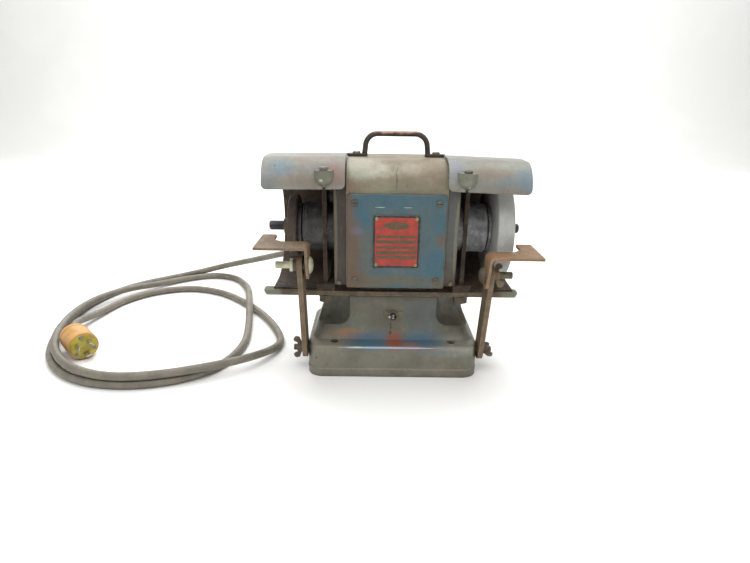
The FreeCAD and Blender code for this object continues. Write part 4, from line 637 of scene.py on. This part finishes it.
# ------------------------------------------------------------------ supply cord
ROUTE = (
    # from the gland down to the floor
    (-0.055, 0.088, 0.172), (-0.055, 0.132, 0.172), (-0.086, 0.176, 0.164), (-0.145, 0.205, 0.145),
    (-0.215, 0.235, 0.121), (-0.284, 0.302, 0.087), (-0.35, 0.372, 0.054), (-0.41, 0.405, 0.032),
    (-0.47, 0.405, 0.0155),
    # first turn, on the floor, and over the end of the second on the right
    (-0.532, 0.383, 0.007), (-0.588, 0.337, 0.007), (-0.628, 0.282, 0.007), (-0.652, 0.205, 0.007),
    (-0.653, 0.12, 0.007), (-0.632, 0.025, 0.007), (-0.592, -0.06, 0.007), (-0.52, -0.121, 0.007),
    (-0.43, -0.138, 0.007), (-0.345, -0.118, 0.007), (-0.288, -0.066, 0.007), (-0.27, 0.015, 0.007),
    (-0.281, 0.095, 0.007), (-0.294, 0.165, 0.0225), (-0.314, 0.25, 0.0225), (-0.339, 0.33, 0.007),
    (-0.377, 0.386, 0.007), (-0.434, 0.405, 0.007),
    # second turn, on top of the first round the left and the front
    (-0.498, 0.376, 0.007), (-0.552, 0.325, 0.009), (-0.6, 0.268, 0.018), (-0.634, 0.195, 0.0218),
    (-0.641, 0.115, 0.0218), (-0.623, 0.025, 0.0218), (-0.588, -0.046, 0.0218),
    (-0.532, -0.106, 0.0218), (-0.455, -0.137, 0.0218), (-0.375, -0.127, 0.0218),
    (-0.3, -0.097, 0.0218), (-0.24, -0.06, 0.02), (-0.2, 0.012, 0.007), (-0.22, 0.078, 0.007),
    (-0.262, 0.155, 0.007), (-0.322, 0.226, 0.007), (-0.386, 0.284, 0.007), (-0.465, 0.309, 0.007),
    (-0.54, 0.281, 0.007),
    # inside the turns to the plug, which lies on its side
    (-0.588, 0.222, 0.007), (-0.605, 0.142, 0.009), (-0.6183, 0.0478, 0.025), (-0.5487, -0.0268, 0.025),
)
CORD_RADIUS = 0.007   # metres
TANGENT_REACH = 0.002   # metres each way over which the cord's direction is averaged


def route_curve(name, points):
    data = bpy.data.curves.new(name, "CURVE")
    data.dimensions = "3D"
    spline = data.splines.new("NURBS")
    spline.points.add(len(points) - 1)
    for p, at in zip(spline.points, points):
        p.co = (*at, 1.0)
    spline.order_u = 3
    spline.use_endpoint_u = True
    spline.resolution_u = 8
    return data


def centre_line(points):
    """Points along the cord's own spline, as Blender works them out."""
    data = route_curve("line", points)
    obj = bpy.data.objects.new("line", data)
    bpy.context.scene.collection.objects.link(obj)
    mesh = bpy.data.meshes.new_from_object(obj)
    line = [v.co.copy() for v in mesh.vertices]
    bpy.data.objects.remove(obj)
    bpy.data.curves.remove(data)
    bpy.data.meshes.remove(mesh)
    return line


def make_cord():
    data = route_curve("supply_cord", ROUTE)
    data.bevel_depth = CORD_RADIUS
    data.bevel_resolution = 5
    data.use_fill_caps = True
    data.materials.append(LOOK["cord"])
    cord = bpy.data.objects.new("supply_cord", data)
    bpy.context.scene.collection.objects.link(cord)
    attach(cord, "frame")
    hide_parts("power_cord")
    return cord


def swept(line, profile, steps=40):
    """Closed profile of (distance along the line, radius), swept round a line."""
    verts, faces = [], []
    walked = [0.0]
    for a, b in zip(line, line[1:]):
        walked.append(walked[-1] + (b - a).length)

    def at(s):
        for i in range(len(line) - 1):
            if s <= walked[i + 1] or i == len(line) - 2:
                t = (s - walked[i]) / (walked[i + 1] - walked[i])
                return line[i].lerp(line[i + 1], t), (line[i + 1] - line[i]).normalized()

    for s, radius in profile:
        place, ahead = at(s)
        before = at(max(0.0, s - TANGENT_REACH))[1]
        after = at(s + TANGENT_REACH)[1]
        ahead = (before + ahead + after).normalized()
        side = ahead.cross(Vector((0, 0, 1))).normalized()
        up = side.cross(ahead)
        for i in range(steps):
            a = 2 * math.pi * i / steps
            verts.append(place + (side * math.cos(a) + up * math.sin(a)) * radius)
    rows = len(profile)
    for r in range(rows):
        q = (r + 1) % rows
        for i in range(steps):
            j = (i + 1) % steps
            faces.append((r * steps + i, r * steps + j, q * steps + j, q * steps + i))
    return verts, faces


RELIEF_START = -0.0035   # metres from the cord's exit, inside the gland
RELIEF_BORE = 0.0072     # metres, just clear of the cord
RELIEF_END = 0.0337
RIBS, RIB_PITCH = 7, 0.0042
RIB_RADIUS, RIB_TAPER = 0.0116, 0.00046   # metres, the first rib and how much each next one loses


def make_relief():
    """Tapered, ribbed strain relief that bends with the cord."""
    line = centre_line(ROUTE)
    profile = [(RELIEF_START, RELIEF_BORE), (RELIEF_START, 0.0128), (0.0010, 0.0130), (0.0016, 0.0122)]
    for i in range(RIBS):
        s = 0.0030 + i * RIB_PITCH
        r = RIB_RADIUS - RIB_TAPER * i
        profile += [(s, r), (s + 0.0024, r - 0.0002), (s + 0.0027, r - 0.0011),
                    (s + 0.0039, r - 0.0012)]
    profile += [(RELIEF_END - 0.0002, 0.0080), (RELIEF_END, RELIEF_BORE)]
    lead = -RELIEF_START * 1.2   # the line begins this much further back
    ahead = (line[1] - line[0]).normalized()
    line = [line[0] - ahead * lead] + line[1:]
    verts, faces = swept(line, [(s + lead, r) for s, r in profile])
    obj = piece("gland_relief", verts, faces, "black", "frame")
    mark_sharp(obj)
    return obj


cord = make_cord()
relief = make_relief()


# ------------------------------------------------------------------ nameplate
PLATE_RIM = 0.0034            # metres, all measures here
PLATE_CORNER = 0.004
RULE_INSET, RULE_CORNER = 0.0015, 0.0008
RULES = ((0.0085, 0.0042), (0.0005, 0.0052), (-0.0085, 0.0040),   # height above the middle, and
         (-0.0165, 0.0052), (-0.0240, 0.0046))                    # thickness
OVAL_RADII, OVAL_HEIGHT = (0.0195, 0.0058), 0.0255


def plate_red():
    k = Look("plate_red")
    colour = k.mottle(rgb(172, 58, 46), rgb(140, 56, 46), k.noise(0.012, 5.0, 0.66), 0.36, 0.64)
    grey = k.step(k.noise(0.008, 6.0, 0.75, (1.0, 1.0, 1.4), 2.0), 0.56, 0.68)
    colour = k.lay(colour, rgb(96, 76, 58), grey, 0.75)
    # painted shade along the rim, from ambient occlusion
    colour = k.lay(colour, GRIME_AND_SHADE, k.corner_shade_mask(0.006), 0.6)
    shine = k.math("ADD", 0.5, k.times(k.noise(0.006), 0.2))
    return k.done(colour, shine, 0.1, k.noise(0.002, 4.0, 0.6), 0.0001, 0.4)


def plate_ink():
    k = Look("plate_ink")
    colour = k.mottle(rgb(80, 74, 56), rgb(108, 76, 56), k.noise(0.005, 5.0, 0.7), 0.40, 0.62)
    shine = k.math("ADD", 0.5, k.times(k.noise(0.004), 0.25))
    return k.done(colour, shine, 0.2, k.noise(0.001, 3.0, 0.6), 0.0001, 0.4)


def slab(ring, y0, y1):
    """Flat slab with an outline of (x, z), between two values of y."""
    n = len(ring)
    verts = [(x, y0, z) for x, z in ring] + [(x, y1, z) for x, z in ring]
    faces = [tuple(range(n)), tuple(range(2 * n - 1, n - 1, -1))]
    faces += [(i, (i + 1) % n, n + (i + 1) % n, n + i) for i in range(n)]
    return verts, faces


def round_corners(x0, z0, x1, z1, r, steps=6):
    """Outline of a rectangle with round corners."""
    ring = []
    for cx, cz, start in ((x1 - r, z1 - r, 0), (x0 + r, z1 - r, 90),
                          (x0 + r, z0 + r, 180), (x1 - r, z0 + r, 270)):
        for i in range(steps + 1):
            a = math.radians(start + 90.0 * i / steps)
            ring.append((cx + r * math.cos(a), cz + r * math.sin(a)))
    return ring


def make_nameplate():
    """Red enamel field inside the plate's dark rim, with a blank oval and plain rules."""
    low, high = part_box("nameplate")
    cx, cz = (low.x + high.x) / 2, (low.z + high.z) / 2
    w, h = high.x - low.x, high.z - low.z
    back, front, proud = low.y + 0.0002, low.y - PAPER_THIN, low.y - 2 * PAPER_THIN
    field = round_corners(cx - w / 2 + PLATE_RIM, cz - h / 2 + PLATE_RIM,
                          cx + w / 2 - PLATE_RIM, cz + h / 2 - PLATE_RIM, PLATE_CORNER)
    panel = piece("plate_field", *slab(field, back, front), plate_red(), "frame", smooth=False)

    wide = w / 2 - PLATE_RIM - RULE_INSET
    outlines = [round_corners(cx - wide, cz + z - thick / 2, cx + wide, cz + z + thick / 2, RULE_CORNER)
                for z, thick in RULES]
    outlines.append([(cx + OVAL_RADII[0] * math.cos(a), cz + OVAL_HEIGHT + OVAL_RADII[1] * math.sin(a))
                     for a in [2 * math.pi * i / 40 for i in range(40)]])
    verts, faces = [], []
    for ring in outlines:
        v, f = slab(ring, front, proud)
        faces += [tuple(i + len(verts) for i in face) for face in f]
        verts += v
    rules = piece("plate_rules", verts, faces, plate_ink(), "frame", smooth=False)


make_nameplate()


# ------------------------------------------------------------------ floor
FLOOR_SIDE, FLOOR_FRONT, FLOOR_BACK = 7.0, -6.0, 2.9   # metres
BEND, WALL_TOP = 0.9, 4.0                              # metres
FLOOR_DROP = -0.0003   # metres, so that nothing shares its plane


def make_floor():
    """Pale floor that curves up into a backdrop far behind the object."""
    path = [(FLOOR_FRONT, 0.0), (FLOOR_BACK, 0.0)]
    path += [(FLOOR_BACK + BEND * math.sin(a), BEND - BEND * math.cos(a))
             for a in [math.radians(7.5 * i) for i in range(1, 13)]]
    path.append((FLOOR_BACK + BEND, WALL_TOP))
    verts = [(x, y, z + FLOOR_DROP) for x in (-FLOOR_SIDE, FLOOR_SIDE) for y, z in path]
    n = len(path)
    mesh = bpy.data.meshes.new("floor")
    mesh.from_pydata(verts, [], [(i, n + i, n + i + 1, i + 1) for i in range(n - 1)])
    for p in mesh.polygons:
        p.use_smooth = True
    k = Look("floor_pale")
    colour = k.mottle(rgb(240, 240, 238), rgb(237, 237, 235), k.noise(0.5, 3.0, 0.5), 0.4, 0.6)
    mesh.materials.append(k.done(colour, 0.7, 0.0, k.noise(0.01), 0.0001, 0.1))
    floor = bpy.data.objects.new("floor", mesh)
    bpy.context.scene.collection.objects.link(floor)


make_floor()
